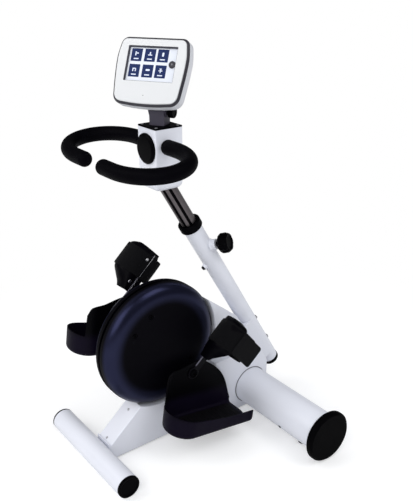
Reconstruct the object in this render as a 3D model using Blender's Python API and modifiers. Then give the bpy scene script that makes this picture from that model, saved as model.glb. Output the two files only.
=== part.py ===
# Active passive trainer: a motor-assisted pedal exerciser on a white steel frame.
# Metres, +Z up. The user sits at -Y, +X is the user's right, the floor is z = 0
# and the origin lies under the middle of the machine.

import math

import bmesh
import bpy
from mathutils import Matrix, Vector

GAP = 0.0003                    # air between two pieces that touch

# Front foot tube and its plug caps
FRONT_TUBE_RADIUS = 0.0312
FRONT_TUBE_WALL = 0.0025
FRONT_TUBE_SPAN = 0.3676        # over both caps
FRONT_TUBE_Y = -0.3164
PLUG_LIP = 0.0055
PLUG_DEPTH = 0.020

# Rear foot tube, its wheels and rubber feet
REAR_TUBE_RADIUS = 0.0553
REAR_TUBE_WALL = 0.003
REAR_TUBE_Y = 0.1916
OVERALL_WIDTH = 0.7784
WHEEL_RADIUS = 0.0722
WHEEL_WIDTH = 0.023
WHEEL_ROUND = 0.006
AXLE_RADIUS = 0.008
AXLE_PLATE = 0.008
AXLE_LENGTH = 0.016
REAR_FOOT_RADIUS = 0.0125
REAR_FOOT_INSET = 0.0772        # foot centre from the wheel's inner face

# Base covers and the bar inside them
COVER_WIDTH = 0.065
COVER_WALL = 0.003
COVER_EDGE = 0.0025
FLOOR_CLEARANCE = 0.003
PLATE_THICKNESS = 0.0028        # end plate of the inner beam, between tube and cover
END_PLATE_RISE = 0.006
NOSE_HEIGHT = 0.047
SLOPE_ANGLE = 40.4
DRUM_CLEARANCE = 0.0028
BACK_HEIGHT = 0.304
BACK_SLOPE = 38.3
COLUMN_STANDOFF = 0.0345        # column axis to the back faces of the covers
HOUSING_WIDTH = 0.115
HOUSING_FRONT = 0.0588
HOUSING_BACK = 0.259
HOUSING_TOP = 0.192
BEAM_WIDTH = 0.040
BEAM_HEIGHT = 0.030
BEAM_BOTTOM = 0.017
BOARD_WIDTH = 0.084
BOARD_HEIGHT = 0.100
BOARD_THICKNESS = 0.0016
BOARD_STANDOFF = 0.010
BOARD_MIDDLE = 0.115
SPACER_RADIUS = 0.003
SPACER_INSET = 0.007

# Crank drum
CRANK_Y = -0.104
CRANK_Z = 0.2965
CRANK_ANGLE = -52.5             # right pedal above the horizontal, seen from the right
CRANK_RADIUS = 0.115
DISC_RADIUS = 0.178
DISC_SPLIT = 0.008              # slot between the two discs
DISC_RIM_X = 0.0095
DISC_FACE_X = 0.0405
DISC_ROUND = 0.042
DISC_WALL = 0.003
DISC_SCREW_RADIUS = 0.110
DISC_SCREW_ANGLE = 17.0
ARM_THICKNESS = 0.006
ARM_LENGTH = 0.250
ARM_WIDTH = 0.084
SHAFT_RADIUS = 0.010

# Drive inside the drum
WEB_THICKNESS = 0.005
WEB_FRONT = -0.165
WEB_BACK = 0.040
WEB_HUB_RADIUS = 0.052
MOTOR_RADIUS = 0.040
MOTOR_DEPTH = 0.020
MOTOR_REACH = 0.120
MOTOR_ANGLE = -60.0
MOTOR_SHAFT_RADIUS = 0.004
PULLEY_RADIUS = 0.075
PULLEY_WIDTH = 0.010
MOTOR_PULLEY_RADIUS = 0.016
BELT_THICKNESS = 0.003
BEARING_RADIUS = 0.0158
BEARING_HOUSING_RADIUS = 0.020

# Pedals: foot shell with its guard wall, in the pedal's own frame
GUARD_X = 0.070
SPINDLE_RADIUS = 0.008
SHELL_WIDTH = 0.120
SHELL_WALL = 0.0035
SHELL_TILT = -8.5
SOLE_DROP = 0.130
HEEL_Y = -0.060
HEEL_DEPTH = 0.053
TOE_Y = 0.150
TOE_ROUND = 0.017
SOLE_ROUND = 0.012
HUB_RADIUS = 0.020
GUARD_OUTLINE = ((-0.0907, -0.0085), (-0.0807, 0.0122), (-0.0424, 0.0199), (-0.0046, 0.0307),
                 (0.0212, 0.0340), (0.0479, 0.0243), (0.0957, -0.0110), (0.1222, -0.0465),
                 (0.1443, -0.0990))
RIM_HEIGHTS = ((-0.113, 0.063), (-0.060, 0.0526), (0.042, 0.039), (0.150, 0.0375))

# Calf guides, in the calf's own frame: y along the shin, z out of the shell's back
CALF_ANGLES = {"right": 40.0, "left": 43.0}
ARM_BAR_THICKNESS = 0.004
ARM_BAR_WIDTH = 0.020
ARM_BAR_RISE = 0.010            # upper edge above the pedal axis
ARM_BAR_END = 0.178
EYE_RADIUS = 0.017
CALF_START = 0.052
CALF_END = 0.182
CALF_WIDTH = 0.089
CALF_DEPTH = 0.032
CALF_RIM = 0.022
CALF_WALL = 0.003
CALF_FOOT_SHARE = 0.36          # width left at the shell's lower end
STRAP_WIDTH = 0.058
STRAP_THICKNESS = 0.0025
STRAP_MIDDLE = 0.130
STRAP_LIFT = 0.0008
STRAP_SAG = 0.068
STRAP_DROP = 0.034              # straight down past the arm before the strap curves
FLAP_LENGTH = 0.092
RIVET_RADIUS = 0.0022
RIVET_HEAD = 0.004
RIVET_PLACES = (0.076, 0.168)

# Column
COLUMN_RADIUS = 0.0261
COLUMN_WALL = 0.0022
COLUMN_LEAN = 30.54
COLUMN_FOOT_Z = 0.0869
COLUMN_LENGTH = 0.6127
COLUMN_CAP_LIP = 0.010
COLUMN_CAP_EDGE = 0.0015
POST_RADIUS = 0.0214
POST_INSERT = 0.280
POST_SLOT_WIDTH = 0.008
POST_SLOT_DEPTH = 0.004
COLLAR_RADIUS = 0.0315
COLLAR_SKIRT = 0.014
COLLAR_TOP = 0.008
BUSH_DEPTH = 0.060
SADDLE_WIDTH = 0.060
SADDLE_LOW = 0.050
SADDLE_HIGH = 0.215
SADDLE_BOLTS = (("lower", 0.085), ("upper", 0.180))
BOLT_RADIUS = 0.004
CLAMP_PLACE = 0.523
CLAMP_TURN = 35.0               # from +X towards the column's back
CLAMP_BOSS_RADIUS = 0.015
CLAMP_BOSS_REACH = 0.041
CLAMP_KNOB_RADIUS = 0.028
CLAMP_KNOB_DEPTH = 0.029
CLAMP_KNOB_REACH = 0.052
STUD_RADIUS = 0.006
GUIDE_PLACE = 0.466
GUIDE_BOSS_RADIUS = 0.008
GUIDE_BOSS_REACH = 0.032

# Head box and handlebar
HEAD_SIZE = 0.080
HEAD_Y = -0.0706
HEAD_BOTTOM = 0.732
HEAD_TOP = 0.892
HEAD_WALL = 0.003
HEAD_EDGE = 0.004
HEAD_FOOT_ROUND = 0.016
TOP_PLATE = 0.0035
SOCKET_SIZE = 0.062
SOCKET_HEIGHT = 0.040
FRONT_CAP_RADIUS = 0.0383
FRONT_CAP_Z = 0.838
FRONT_CAP_PROUD = 0.009
BAR_RADIUS = 0.0125
GRIP_RADIUS = 0.019
BAR_Y = -0.083
BAR_Z = 0.8465
BAR_HALF_WIDTH = 0.2144
BAR_FRONT_Y = -0.2585
BAR_SLOPE = 0.115
BAR_CORNER = 0.130              # along X; the loop's ends are half ellipses
BAR_END_X = 0.0345
GRIP_END = 0.004

# Console on its neck
NECK_WIDTH = 0.040
NECK_DEPTH = 0.036
TILT_Z = 0.925
SWIVEL_PIN_RADIUS = 0.010
SWIVEL_PIN_LENGTH = 0.022
SWIVEL_ANGLE = 30.4
TILT_ANGLE = 26.9
FACE_REACH = 0.0618             # tilt axis to the console's face
FACE_RISE = 0.0954              # tilt axis to the middle of the screen
FACE_SHIFT = -0.0145
FACE_HALF_WIDTH = 0.0952        # at the widest place, a little above the middle
FACE_WIDEST = 0.010
FACE_TOP_HALF_WIDTH = 0.0905
FACE_BOTTOM_HALF_WIDTH = 0.089
FACE_TOP = 0.066
FACE_BOTTOM = -0.103
FACE_BOTTOM_BOW = 0.004         # the lower edge rises towards its corners
FACE_TOP_ROUND = 0.020
FACE_BOTTOM_ROUND = 0.026
BEZEL_DEPTH = 0.013
GASKET_DEPTH = 0.003
REAR_SHELL_DEPTH = 0.024
CASE_WALL = 0.003
PANEL_WIDTH = 0.130             # sunk field that holds the screen and the button
PANEL_HEIGHT = 0.0865
PANEL_DEPTH = 0.0035
SCREEN_WIDTH = 0.109
SCREEN_HEIGHT = 0.0845
SCREEN_THICKNESS = 0.0015
SCREEN_SHIFT = -0.0095
BUTTON_RADIUS = 0.0085
BUTTON_X = 0.0552
BUTTON_Z = 0.0011
BUTTON_TRAVEL = 0.0015
TILT_KNOB_RADIUS = 0.015
TILT_KNOB_DEPTH = 0.014
TILT_KNOB_REACH = 0.027
TILT_BOLT_RADIUS = 0.004
EAR_THICKNESS = 0.003
EAR_RADIUS = 0.014
EAR_HEIGHT = 0.085

SIDES = (("right", 1), ("left", -1))
MIRROR = Matrix.Scale(-1, 4, (1, 0, 0))

# Local X, Y, Z of a side-view outline become world Y, Z, X
SIDE_VIEW = Matrix(((0, 0, 1, 0), (1, 0, 0, 0), (0, 1, 0, 0), (0, 0, 0, 1)))

COLORS = {
    "white_paint": ((0.80, 0.81, 0.84), 0.35, 0.0),
    "black_plastic": ((0.018, 0.018, 0.026), 0.38, 0.0),
    "black_rubber": ((0.012, 0.012, 0.014), 0.75, 0.0),
    "drum_plastic": ((0.030, 0.028, 0.055), 0.30, 0.0),
    "foam": ((0.012, 0.011, 0.016), 0.80, 0.0),
    "webbing": ((0.014, 0.013, 0.020), 0.85, 0.0),
    "grey_plastic": ((0.10, 0.09, 0.11), 0.45, 0.0),
    "console_white": ((0.82, 0.83, 0.84), 0.30, 0.0),
    "gasket_grey": ((0.05, 0.045, 0.055), 0.60, 0.0),
    "screen_glass": ((0.55, 0.62, 0.66), 0.10, 0.0),
    "steel": ((0.55, 0.55, 0.56), 0.32, 1.0),
    "aluminium": ((0.60, 0.58, 0.57), 0.35, 1.0),
    "circuit_green": ((0.02, 0.16, 0.07), 0.50, 0.0),
}


# Scene and materials

def clear_scene():
    for obj in list(bpy.data.objects):
        bpy.data.objects.remove(obj, do_unlink=True)


def new_collection(name):
    collection = bpy.data.collections.new(name)
    bpy.context.scene.collection.children.link(collection)
    return collection


def finish(name):
    material = bpy.data.materials.get(name)
    if material is None:
        color, roughness, metallic = COLORS[name]
        material = bpy.data.materials.new(name)
        material.use_nodes = True
        shader = material.node_tree.nodes["Principled BSDF"]
        shader.inputs["Base Color"].default_value = (*color, 1.0)
        shader.inputs["Roughness"].default_value = roughness
        shader.inputs["Metallic"].default_value = metallic
        material.diffuse_color = (*color, 1.0)
    return material


def add(name, mesh, material=None, place=Matrix(), parent=None):
    """A part if it has a material, otherwise a cutter or a guide."""
    obj = bpy.data.objects.new(name, mesh)
    if material:
        PARTS.objects.link(obj)
        mesh.materials.append(finish(material))
    else:
        CUTTERS.objects.link(obj)
        obj.hide_render = True
        obj.display_type = "WIRE"
    obj.parent = parent
    obj.matrix_local = place
    return obj


def pivot(name, place, parent=None):
    empty = bpy.data.objects.new(name, None)
    PARTS.objects.link(empty)
    empty.parent = parent
    empty.matrix_local = place
    return empty


def evaluated_mesh(obj):
    bpy.context.view_layer.update()
    graph = bpy.context.evaluated_depsgraph_get()
    return bpy.data.meshes.new_from_object(obj.evaluated_get(graph), depsgraph=graph)


def weld(mesh):
    work = bmesh.new()
    work.from_mesh(mesh)
    bmesh.ops.remove_doubles(work, verts=work.verts, dist=0.000001)
    bmesh.ops.recalc_face_normals(work, faces=work.faces)
    work.to_mesh(mesh)
    work.free()


# Placing

def move(x, y, z):
    return Matrix.Translation((x, y, z))


def turn(degrees, axis):
    return Matrix.Rotation(math.radians(degrees), 4, axis)


def outward(side):
    """Local +Z points away from the middle plane on the given side."""
    return turn(90 * side, "Y")


def polar(radius, degrees):
    angle = math.radians(degrees)
    return (radius * math.cos(angle), radius * math.sin(angle))


def arc(centre, radius, start, end, steps):
    points = []
    for i in range(steps + 1):
        u, v = polar(radius, start + (end - start) * i / steps)
        points.append((centre[0] + u, centre[1] + v))
    return points


def meet(point, direction, other, other_direction):
    """Where two straight lines in the plane cross."""
    cross = direction[0] * other_direction[1] - direction[1] * other_direction[0]
    along = ((other[0] - point[0]) * other_direction[1]
             - (other[1] - point[1]) * other_direction[0]) / cross
    return (point[0] + along * direction[0], point[1] + along * direction[1])


def meet_circle(point, direction, centre, radius, nearest):
    """Where a line with a unit direction crosses a circle, first or second."""
    offset = (point[0] - centre[0], point[1] - centre[1])
    half = offset[0] * direction[0] + offset[1] * direction[1]
    rest = offset[0] ** 2 + offset[1] ** 2 - radius ** 2
    root = math.sqrt(half ** 2 - rest)
    along = -half - root if nearest else -half + root
    return (point[0] + along * direction[0], point[1] + along * direction[1])


def between(table, value):
    """Straight-line interpolation in a list of pairs."""
    if value <= table[0][0]:
        return table[0][1]
    for (low, a), (high, b) in zip(table, table[1:]):
        if value <= high:
            return a + (b - a) * (value - low) / (high - low)
    return table[-1][1]


# Shapes

def turned(name, profile, steps, material=None, place=Matrix(), parent=None, closed=True):
    """A profile of (radius, height) turned about local Z; a ring's profile is closed."""
    work = bmesh.new()
    verts = [work.verts.new((radius, 0, height)) for radius, height in profile]
    for first, second in zip(verts, verts[1:]):
        work.edges.new((first, second))
    if closed:
        work.edges.new((verts[-1], verts[0]))
    mesh = bpy.data.meshes.new(name)
    work.to_mesh(mesh)
    work.free()
    obj = add(name, mesh, material, place, parent)
    screw = obj.modifiers.new("turn", "SCREW")
    screw.steps = steps
    screw.render_steps = steps
    screw.use_merge_vertices = True
    screw.merge_threshold = 0.00001
    return obj


def rod(name, radius, low, high, steps, material=None, place=Matrix(), parent=None):
    profile = ((0, high), (radius, high), (radius, low), (0, low))
    return turned(name, profile, steps, material, place, parent, closed=False)


def ring(name, outer, inner, low, high, steps, material=None, place=Matrix(), parent=None):
    profile = ((outer, high), (outer, low), (inner, low), (inner, high))
    return turned(name, profile, steps, material, place, parent)


def box(name, size, centre, material=None, place=Matrix(), parent=None, edge=0.0, segments=2):
    work = bmesh.new()
    bmesh.ops.create_cube(work, size=1.0)
    bmesh.ops.scale(work, verts=work.verts, vec=size)
    bmesh.ops.translate(work, verts=work.verts, vec=centre)
    mesh = bpy.data.meshes.new(name)
    work.to_mesh(mesh)
    work.free()
    obj = add(name, mesh, material, place, parent)
    if edge:
        round_edges(obj, edge, segments)
    return obj


def plate(name, loops, low, high, material=None, place=Matrix(), parent=None):
    """A flat outline, with holes as further loops, from height low to height high."""
    curve = bpy.data.curves.new(name + "_outline", "CURVE")
    curve.dimensions = "2D"
    curve.fill_mode = "BOTH"
    curve.extrude = (high - low) / 2
    for loop in loops:
        spline = curve.splines.new("POLY")
        spline.points.add(len(loop) - 1)
        for point, (u, v) in zip(spline.points, loop):
            point.co = (u, v, 0, 1)
        spline.use_cyclic_u = True
    guide = bpy.data.objects.new(name + "_outline", curve)
    CUTTERS.objects.link(guide)
    mesh = evaluated_mesh(guide)
    bpy.data.objects.remove(guide, do_unlink=True)
    weld(mesh)
    mesh.name = name
    return add(name, mesh, material, place @ move(0, 0, (low + high) / 2), parent)


def side_plate(name, loops, low, high, material=None, place=Matrix(), parent=None):
    """A plate whose outline is in Y and Z, from x = low to x = high."""
    return plate(name, loops, low, high, material, place @ SIDE_VIEW, parent)


def tube(name, path, radius, resolution, material=None):
    curve = bpy.data.curves.new(name + "_path", "CURVE")
    curve.dimensions = "3D"
    curve.bevel_depth = radius
    curve.bevel_resolution = resolution
    curve.use_fill_caps = True
    spline = curve.splines.new("POLY")
    spline.points.add(len(path) - 1)
    for point, place in zip(spline.points, path):
        point.co = (*place, 1)
    guide = bpy.data.objects.new(name + "_path", curve)
    CUTTERS.objects.link(guide)
    mesh = evaluated_mesh(guide)
    bpy.data.objects.remove(guide, do_unlink=True)
    weld(mesh)
    mesh.name = name
    return add(name, mesh, material)


def copies(name, model, places, material, parent=None):
    """The same shape in several places, in one mesh."""
    source = evaluated_mesh(model)
    own_place = model.matrix_local.copy()
    work = bmesh.new()
    for place in places:
        start = len(work.verts)
        first_face = len(work.faces)
        work.from_mesh(source)
        work.verts.ensure_lookup_table()
        work.faces.ensure_lookup_table()
        bmesh.ops.transform(work, matrix=place @ own_place, verts=work.verts[start:])
        if place.is_negative:
            bmesh.ops.reverse_faces(work, faces=work.faces[first_face:])
    mesh = bpy.data.meshes.new(name)
    work.to_mesh(mesh)
    work.free()
    return add(name, mesh, material, parent=parent)


def round_edges(obj, width, segments=2, angle=40):
    bevel = obj.modifiers.new("round", "BEVEL")
    bevel.width = width
    bevel.segments = segments
    bevel.limit_method = "ANGLE"
    bevel.angle_limit = math.radians(angle)


def weigh_edges(obj, rule):
    """Bevel weights from a rule on the two ends of each edge."""
    weights = obj.data.attributes.new("bevel_weight_edge", "FLOAT", "EDGE")
    for edge in obj.data.edges:
        first, second = (obj.data.vertices[i].co for i in edge.vertices)
        weights.data[edge.index].value = rule(first, second)


def combine(obj, other, operation):
    boolean = obj.modifiers.new(operation.lower(), "BOOLEAN")
    boolean.object = other
    boolean.operation = operation


def cut(obj, *others):
    for other in others:
        combine(obj, other, "DIFFERENCE")


def join(obj, *others):
    for other in others:
        combine(obj, other, "UNION")


# Front foot

def front_foot():
    place = move(0, FRONT_TUBE_Y, FRONT_TUBE_RADIUS)
    bore = FRONT_TUBE_RADIUS - FRONT_TUBE_WALL
    half = FRONT_TUBE_SPAN / 2
    end = half - PLUG_LIP - GAP
    ring("front_foot_tube", FRONT_TUBE_RADIUS, bore, -end, end, 24, "white_paint",
         place @ outward(1))
    profile = ((0, half), (FRONT_TUBE_RADIUS - 0.0015, half), (FRONT_TUBE_RADIUS, half - 0.0015),
               (FRONT_TUBE_RADIUS, half - PLUG_LIP), (bore - GAP, half - PLUG_LIP),
               (bore - GAP, half - PLUG_DEPTH), (bore - 0.003, half - PLUG_DEPTH),
               (bore - 0.003, half - PLUG_LIP - 0.001), (0, half - PLUG_LIP - 0.001))
    for side_name, side in SIDES:
        turned("front_foot_cap_" + side_name, profile, 24, "black_plastic", place @ outward(side),
               closed=False)


def cover_front():
    """Front face of the base cover, behind the beam's end plate."""
    return FRONT_TUBE_Y + FRONT_TUBE_RADIUS + 2 * GAP + PLATE_THICKNESS


# Base

def column_direction():
    lean = math.radians(COLUMN_LEAN)
    return (-math.sin(lean), math.cos(lean))


def column_foot():
    """Y and Z of the column's lower end; its rear edge mirrors the front tube's front edge."""
    lean = math.radians(COLUMN_LEAN)
    reach = FRONT_TUBE_RADIUS - FRONT_TUBE_Y
    return (reach - COLUMN_RADIUS * math.cos(lean) + COLUMN_CAP_EDGE * math.sin(lean), COLUMN_FOOT_Z)


def back_line(inset):
    """A point on the line behind which the covers end, parallel to the column."""
    direction = column_direction()
    foot = column_foot()
    distance = COLUMN_STANDOFF + inset
    return (foot[0] - distance * direction[1], foot[1] + distance * direction[0])


def back_at(height, inset=0.0):
    return meet(back_line(inset), column_direction(), (0, height), (1, 0))


def cover_outline(inset, bottom):
    centre = (CRANK_Y, CRANK_Z)
    radius = DISC_RADIUS + DRUM_CLEARANCE + inset
    rise = polar(1, SLOPE_ANGLE)
    nose = (cover_front() + inset * rise[1], NOSE_HEIGHT - inset * rise[0])
    nose_top = meet(nose, rise, (cover_front() + inset, 0), (0, 1))
    first = meet_circle(nose, rise, centre, radius, True)
    fall = polar(1, 180 - BACK_SLOPE)
    shoulder = back_at(BACK_HEIGHT)
    lowered = (shoulder[0] - inset * fall[1], shoulder[1] + inset * fall[0])
    back_top = meet(lowered, fall, back_line(inset), column_direction())
    last = meet_circle(lowered, fall, centre, radius, True)
    start = math.degrees(math.atan2(first[1] - centre[1], first[0] - centre[0]))
    end = math.degrees(math.atan2(last[1] - centre[1], last[0] - centre[0]))
    shelf = HOUSING_TOP + GAP + inset
    wall = HOUSING_FRONT - GAP - inset
    return ([(cover_front() + inset, bottom), nose_top]
            + arc(centre, radius, start, end, 14)
            + [back_top, back_at(shelf, inset), (wall, shelf), (wall, bottom)])


def housing_outline(inset, bottom):
    top = HOUSING_TOP - inset
    corner = meet(back_line(inset), column_direction(), (HOUSING_BACK - inset, 0), (0, 1))
    return [(HOUSING_FRONT + inset, bottom), (HOUSING_FRONT + inset, top),
            back_at(top, inset), corner, (HOUSING_BACK - inset, bottom)]


def base():
    half = COVER_WIDTH / 2
    beam_top = BEAM_BOTTOM + BEAM_HEIGHT
    beam_middle = BEAM_BOTTOM + BEAM_HEIGHT / 2
    plate_middle = cover_front() - GAP - PLATE_THICKNESS / 2
    beam_length = REAR_TUBE_Y - plate_middle
    beam_centre = (plate_middle + REAR_TUBE_Y) / 2
    beam = box("base_beam", (BEAM_WIDTH, beam_length, BEAM_HEIGHT), (0, beam_centre, beam_middle),
               "white_paint")
    plate_height = NOSE_HEIGHT + END_PLATE_RISE - FLOOR_CLEARANCE
    end_plate = box("beam_end_plate", (COVER_WIDTH, PLATE_THICKNESS, plate_height),
                    (0, plate_middle, FLOOR_CLEARANCE + plate_height / 2))
    join(beam, end_plate)
    tube_place = move(0, REAR_TUBE_Y, WHEEL_RADIUS) @ outward(1)
    cope = rod("rear_tube_cope", REAR_TUBE_RADIUS + GAP, -HOUSING_WIDTH, HOUSING_WIDTH, 32,
               place=tube_place)
    cut(beam, cope)

    doorway = box("beam_doorway", (BEAM_WIDTH + 2 * GAP, beam_length, BEAM_HEIGHT + 2 * GAP),
                  (0, beam_centre - 2 * COVER_WALL, beam_middle))
    cover = side_plate("front_cover", [cover_outline(0, FLOOR_CLEARANCE)], -half, half, "white_paint")
    round_edges(cover, COVER_EDGE)
    hollow = side_plate("front_cover_hollow", [cover_outline(COVER_WALL, -COVER_WALL)],
                        COVER_WALL - half, half - COVER_WALL)
    slot = box("web_slot", (WEB_THICKNESS + 4 * GAP, WEB_BACK - WEB_FRONT + 4 * GAP, CRANK_Z - beam_top),
               (0, (WEB_FRONT + WEB_BACK) / 2, (CRANK_Z + beam_top) / 2 + COVER_WALL))
    cut(cover, hollow, doorway, slot)

    half = HOUSING_WIDTH / 2
    housing = side_plate("rear_housing", [housing_outline(0, FLOOR_CLEARANCE)], -half, half, "white_paint")
    round_edges(housing, COVER_EDGE)
    hollow = side_plate("rear_housing_hollow", [housing_outline(COVER_WALL, -COVER_WALL)],
                        COVER_WALL - half, half - COVER_WALL)
    cut(housing, hollow, cope, doorway)
    electrics(housing)


def electrics(housing):
    """Control board on its spacers and the mains inlet, both inside the rear housing."""
    inner = HOUSING_FRONT + COVER_WALL
    board_y = inner + BOARD_STANDOFF
    board_z = BOARD_MIDDLE
    board = box("control_board", (BOARD_WIDTH, BOARD_THICKNESS, BOARD_HEIGHT), (0, board_y, board_z),
                "circuit_green")
    for x in (-1, 1):
        for z in (-1, 1):
            spacer_place = move(x * (BOARD_WIDTH / 2 - SPACER_INSET), 0,
                                board_z + z * (BOARD_HEIGHT / 2 - SPACER_INSET)) @ turn(-90, "X")
            join(board, rod("board_spacer_%+d_%+d" % (x, z), SPACER_RADIUS, inner + GAP, board_y, 8,
                            place=spacer_place))
    join(board, box("board_transformer", (0.030, 0.022, 0.026), (-0.014, board_y + 0.011, board_z - 0.025)),
         box("board_heatsink", (0.014, 0.018, 0.044), (0.024, board_y + 0.009, board_z + 0.012)))

    outer = -HOUSING_WIDTH / 2
    inlet_y, inlet_z = 0.092, 0.160
    inlet = box("power_inlet", (0.022, 0.027, 0.020), (outer + 0.011 - 0.002, inlet_y, inlet_z),
                "black_plastic")
    join(inlet, box("inlet_flange", (0.002, 0.034, 0.027), (outer - GAP - 0.001, inlet_y, inlet_z)))
    cut(inlet, box("inlet_pocket", (0.017, 0.0225, 0.0155), (outer - 0.0035 + 0.0085, inlet_y, inlet_z)))
    for number, (y, z) in enumerate(((-0.006, -0.002), (0.0, 0.002), (0.006, -0.002))):
        join(inlet, box("inlet_blade_" + str(number), (0.009, 0.0012, 0.004),
                        (outer + 0.0105, inlet_y + y, inlet_z + z)))
    cut(housing, box("inlet_doorway", (0.012, 0.027 + 2 * GAP, 0.020 + 2 * GAP), (outer, inlet_y, inlet_z)))


# Rear foot

def rear_foot():
    place = move(0, REAR_TUBE_Y, WHEEL_RADIUS)
    bore = REAR_TUBE_RADIUS - REAR_TUBE_WALL
    wheel_inside = OVERALL_WIDTH / 2 - WHEEL_WIDTH
    end = wheel_inside - 0.001
    ring("rear_foot_tube", REAR_TUBE_RADIUS, bore, -end, end, 32, "white_paint", place @ outward(1))
    for side_name, side in SIDES:
        tip = wheel_inside + AXLE_LENGTH
        profile = ((0, tip), (AXLE_RADIUS, tip), (AXLE_RADIUS, end), (bore - GAP, end),
                   (bore - GAP, end - AXLE_PLATE), (0, end - AXLE_PLATE))
        turned("wheel_axle_" + side_name, profile, 24, "steel", place @ outward(side), closed=False)
        outside = OVERALL_WIDTH / 2
        soft = WHEEL_ROUND
        profile = ((0, outside - 0.0015), (WHEEL_RADIUS - 3 * soft, outside - 0.0015),
                   (WHEEL_RADIUS - 2 * soft, outside), (WHEEL_RADIUS - soft, outside),
                   (WHEEL_RADIUS, outside - soft), (WHEEL_RADIUS, wheel_inside + soft),
                   (WHEEL_RADIUS - soft, wheel_inside), (AXLE_RADIUS + GAP, wheel_inside),
                   (AXLE_RADIUS + GAP, tip + GAP), (0, tip + GAP))
        turned("transport_wheel_" + side_name, profile, 32, "black_rubber", place @ outward(side),
               closed=False)

    skin = rod("rear_tube_skin", REAR_TUBE_RADIUS + GAP, -end, end, 32, place=place @ outward(1))
    for side_name, side in SIDES:
        foot = rod("rear_foot_" + side_name, REAR_FOOT_RADIUS, 0, WHEEL_RADIUS, 12, "black_rubber",
                   move(side * (wheel_inside - REAR_FOOT_INSET), REAR_TUBE_Y, 0))
        cut(foot, skin)


# Crank drum

def disc_profile():
    """Half a dish: flat face, elliptical shoulder, straight rim, and the same inside."""
    steps = 4
    inner_edge = DISC_SPLIT / 2
    centre = DISC_RADIUS - DISC_ROUND
    crown = DISC_FACE_X - DISC_RIM_X
    outside = []
    inside = []
    for i in range(steps + 1):
        angle = math.radians(90 - 90 * i / steps)
        across, up = math.cos(angle), math.sin(angle)
        outside.append((centre + DISC_ROUND * across, DISC_RIM_X + crown * up))
        inside.append((centre + (DISC_ROUND - DISC_WALL) * across, DISC_RIM_X + (crown - DISC_WALL) * up))
    inside.reverse()
    return ([(0, DISC_FACE_X)] + outside + [(DISC_RADIUS, inner_edge), (DISC_RADIUS - DISC_WALL, inner_edge)]
            + inside + [(0, DISC_FACE_X - DISC_WALL)])


def twin_pieces(name, model, material, axis):
    """The right-hand piece of the crank and the same piece turned half round for the left."""
    for side_name, place in (("right", Matrix()), ("left", turn(180, "Z"))):
        copies(name + "_" + side_name, model, [place], material, axis)


def crank(axis):
    """Discs, arms, shaft and drive pulley in the crank's frame, the right pedal on its +Y."""
    face_inside = DISC_FACE_X - DISC_WALL
    arm_outside = face_inside - GAP
    arm_inside = arm_outside - ARM_THICKNESS
    facing = outward(1)
    angles = (DISC_SCREW_ANGLE, -DISC_SCREW_ANGLE, 180 - DISC_SCREW_ANGLE, 180 + DISC_SCREW_ANGLE)
    places = [move(0, *polar(DISC_SCREW_RADIUS, angle)) @ facing for angle in angles]
    recess = rod("recess_model", 0.0085, DISC_FACE_X - 0.0015, DISC_FACE_X + 0.01, 12)
    recesses = copies("disc_recesses", recess, places, None)
    hole = rod("screw_hole_model", 0.0032, arm_inside - 0.002, DISC_FACE_X + 0.01, 8)
    holes = copies("disc_screw_holes", hole, places, None)
    eye_place = move(0, CRANK_RADIUS, 0) @ facing
    eye = rod("spindle_hole", 0.0125, face_inside - 0.002, DISC_FACE_X + 0.01, 20, place=eye_place)
    disc = turned("crank_disc_model", disc_profile(), 32, place=facing, closed=False)
    cut(disc, recesses, holes, eye)
    twin_pieces("crank_disc", disc, "drum_plastic", axis)

    arm = box("crank_arm_model", (ARM_THICKNESS, ARM_LENGTH, ARM_WIDTH),
              (arm_inside + ARM_THICKNESS / 2, 0, 0))
    corners = arm.modifiers.new("corners", "BEVEL")
    corners.width = ARM_WIDTH * 0.3
    corners.segments = 3
    corners.limit_method = "WEIGHT"
    weigh_edges(arm, lambda first, second: 1.0 if abs(first.x - second.x) > ARM_THICKNESS / 2 else 0.0)
    hub = rod("crank_hub", SHAFT_RADIUS + 0.008, arm_inside - 0.008, arm_inside + 0.003, 16, place=facing)
    thread = rod("spindle_thread", SPINDLE_RADIUS + GAP, arm_inside - 0.002, arm_outside + 0.002, 16,
                 place=eye_place)
    shaft_hole = rod("shaft_hole", SHAFT_RADIUS + GAP, arm_inside - 0.02, arm_outside + 0.002, 16,
                     place=facing)
    join(arm, hub)
    cut(arm, holes, thread, shaft_hole)
    twin_pieces("crank_arm", arm, "steel", axis)
    rod("crank_shaft", SHAFT_RADIUS, -arm_outside, arm_outside, 16, "steel", facing, axis)

    hub_start = DISC_FACE_X + 0.0035
    pin_head = GUARD_X + SHELL_WALL + 2 * GAP + ARM_BAR_THICKNESS
    profile = ((0, pin_head + 0.0045), (0.0095, pin_head + 0.0045), (0.0125, pin_head + 0.0030),
               (0.0125, pin_head), (SPINDLE_RADIUS, pin_head), (SPINDLE_RADIUS, hub_start - GAP),
               (0.0145, hub_start - GAP), (0.0145, DISC_FACE_X + 0.0007),
               (SPINDLE_RADIUS, DISC_FACE_X + 0.0007), (SPINDLE_RADIUS, arm_inside), (0, arm_inside))
    pin = turned("spindle_model", profile, 16, place=eye_place, closed=False)
    twin_pieces("pedal_spindle", pin, "steel", axis)

    low = WEB_THICKNESS / 2 + 0.006
    high = low + PULLEY_WIDTH
    bore = SHAFT_RADIUS + GAP
    profile = ((bore + 0.008, high + 0.0035), (bore + 0.008, high), (PULLEY_RADIUS, high),
               (PULLEY_RADIUS, low), (bore + 0.008, low), (bore + 0.008, low - 0.0012),
               (bore, low - 0.0012), (bore, high + 0.0035))
    turned("drive_pulley", profile, 28, "aluminium", facing, axis)


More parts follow.
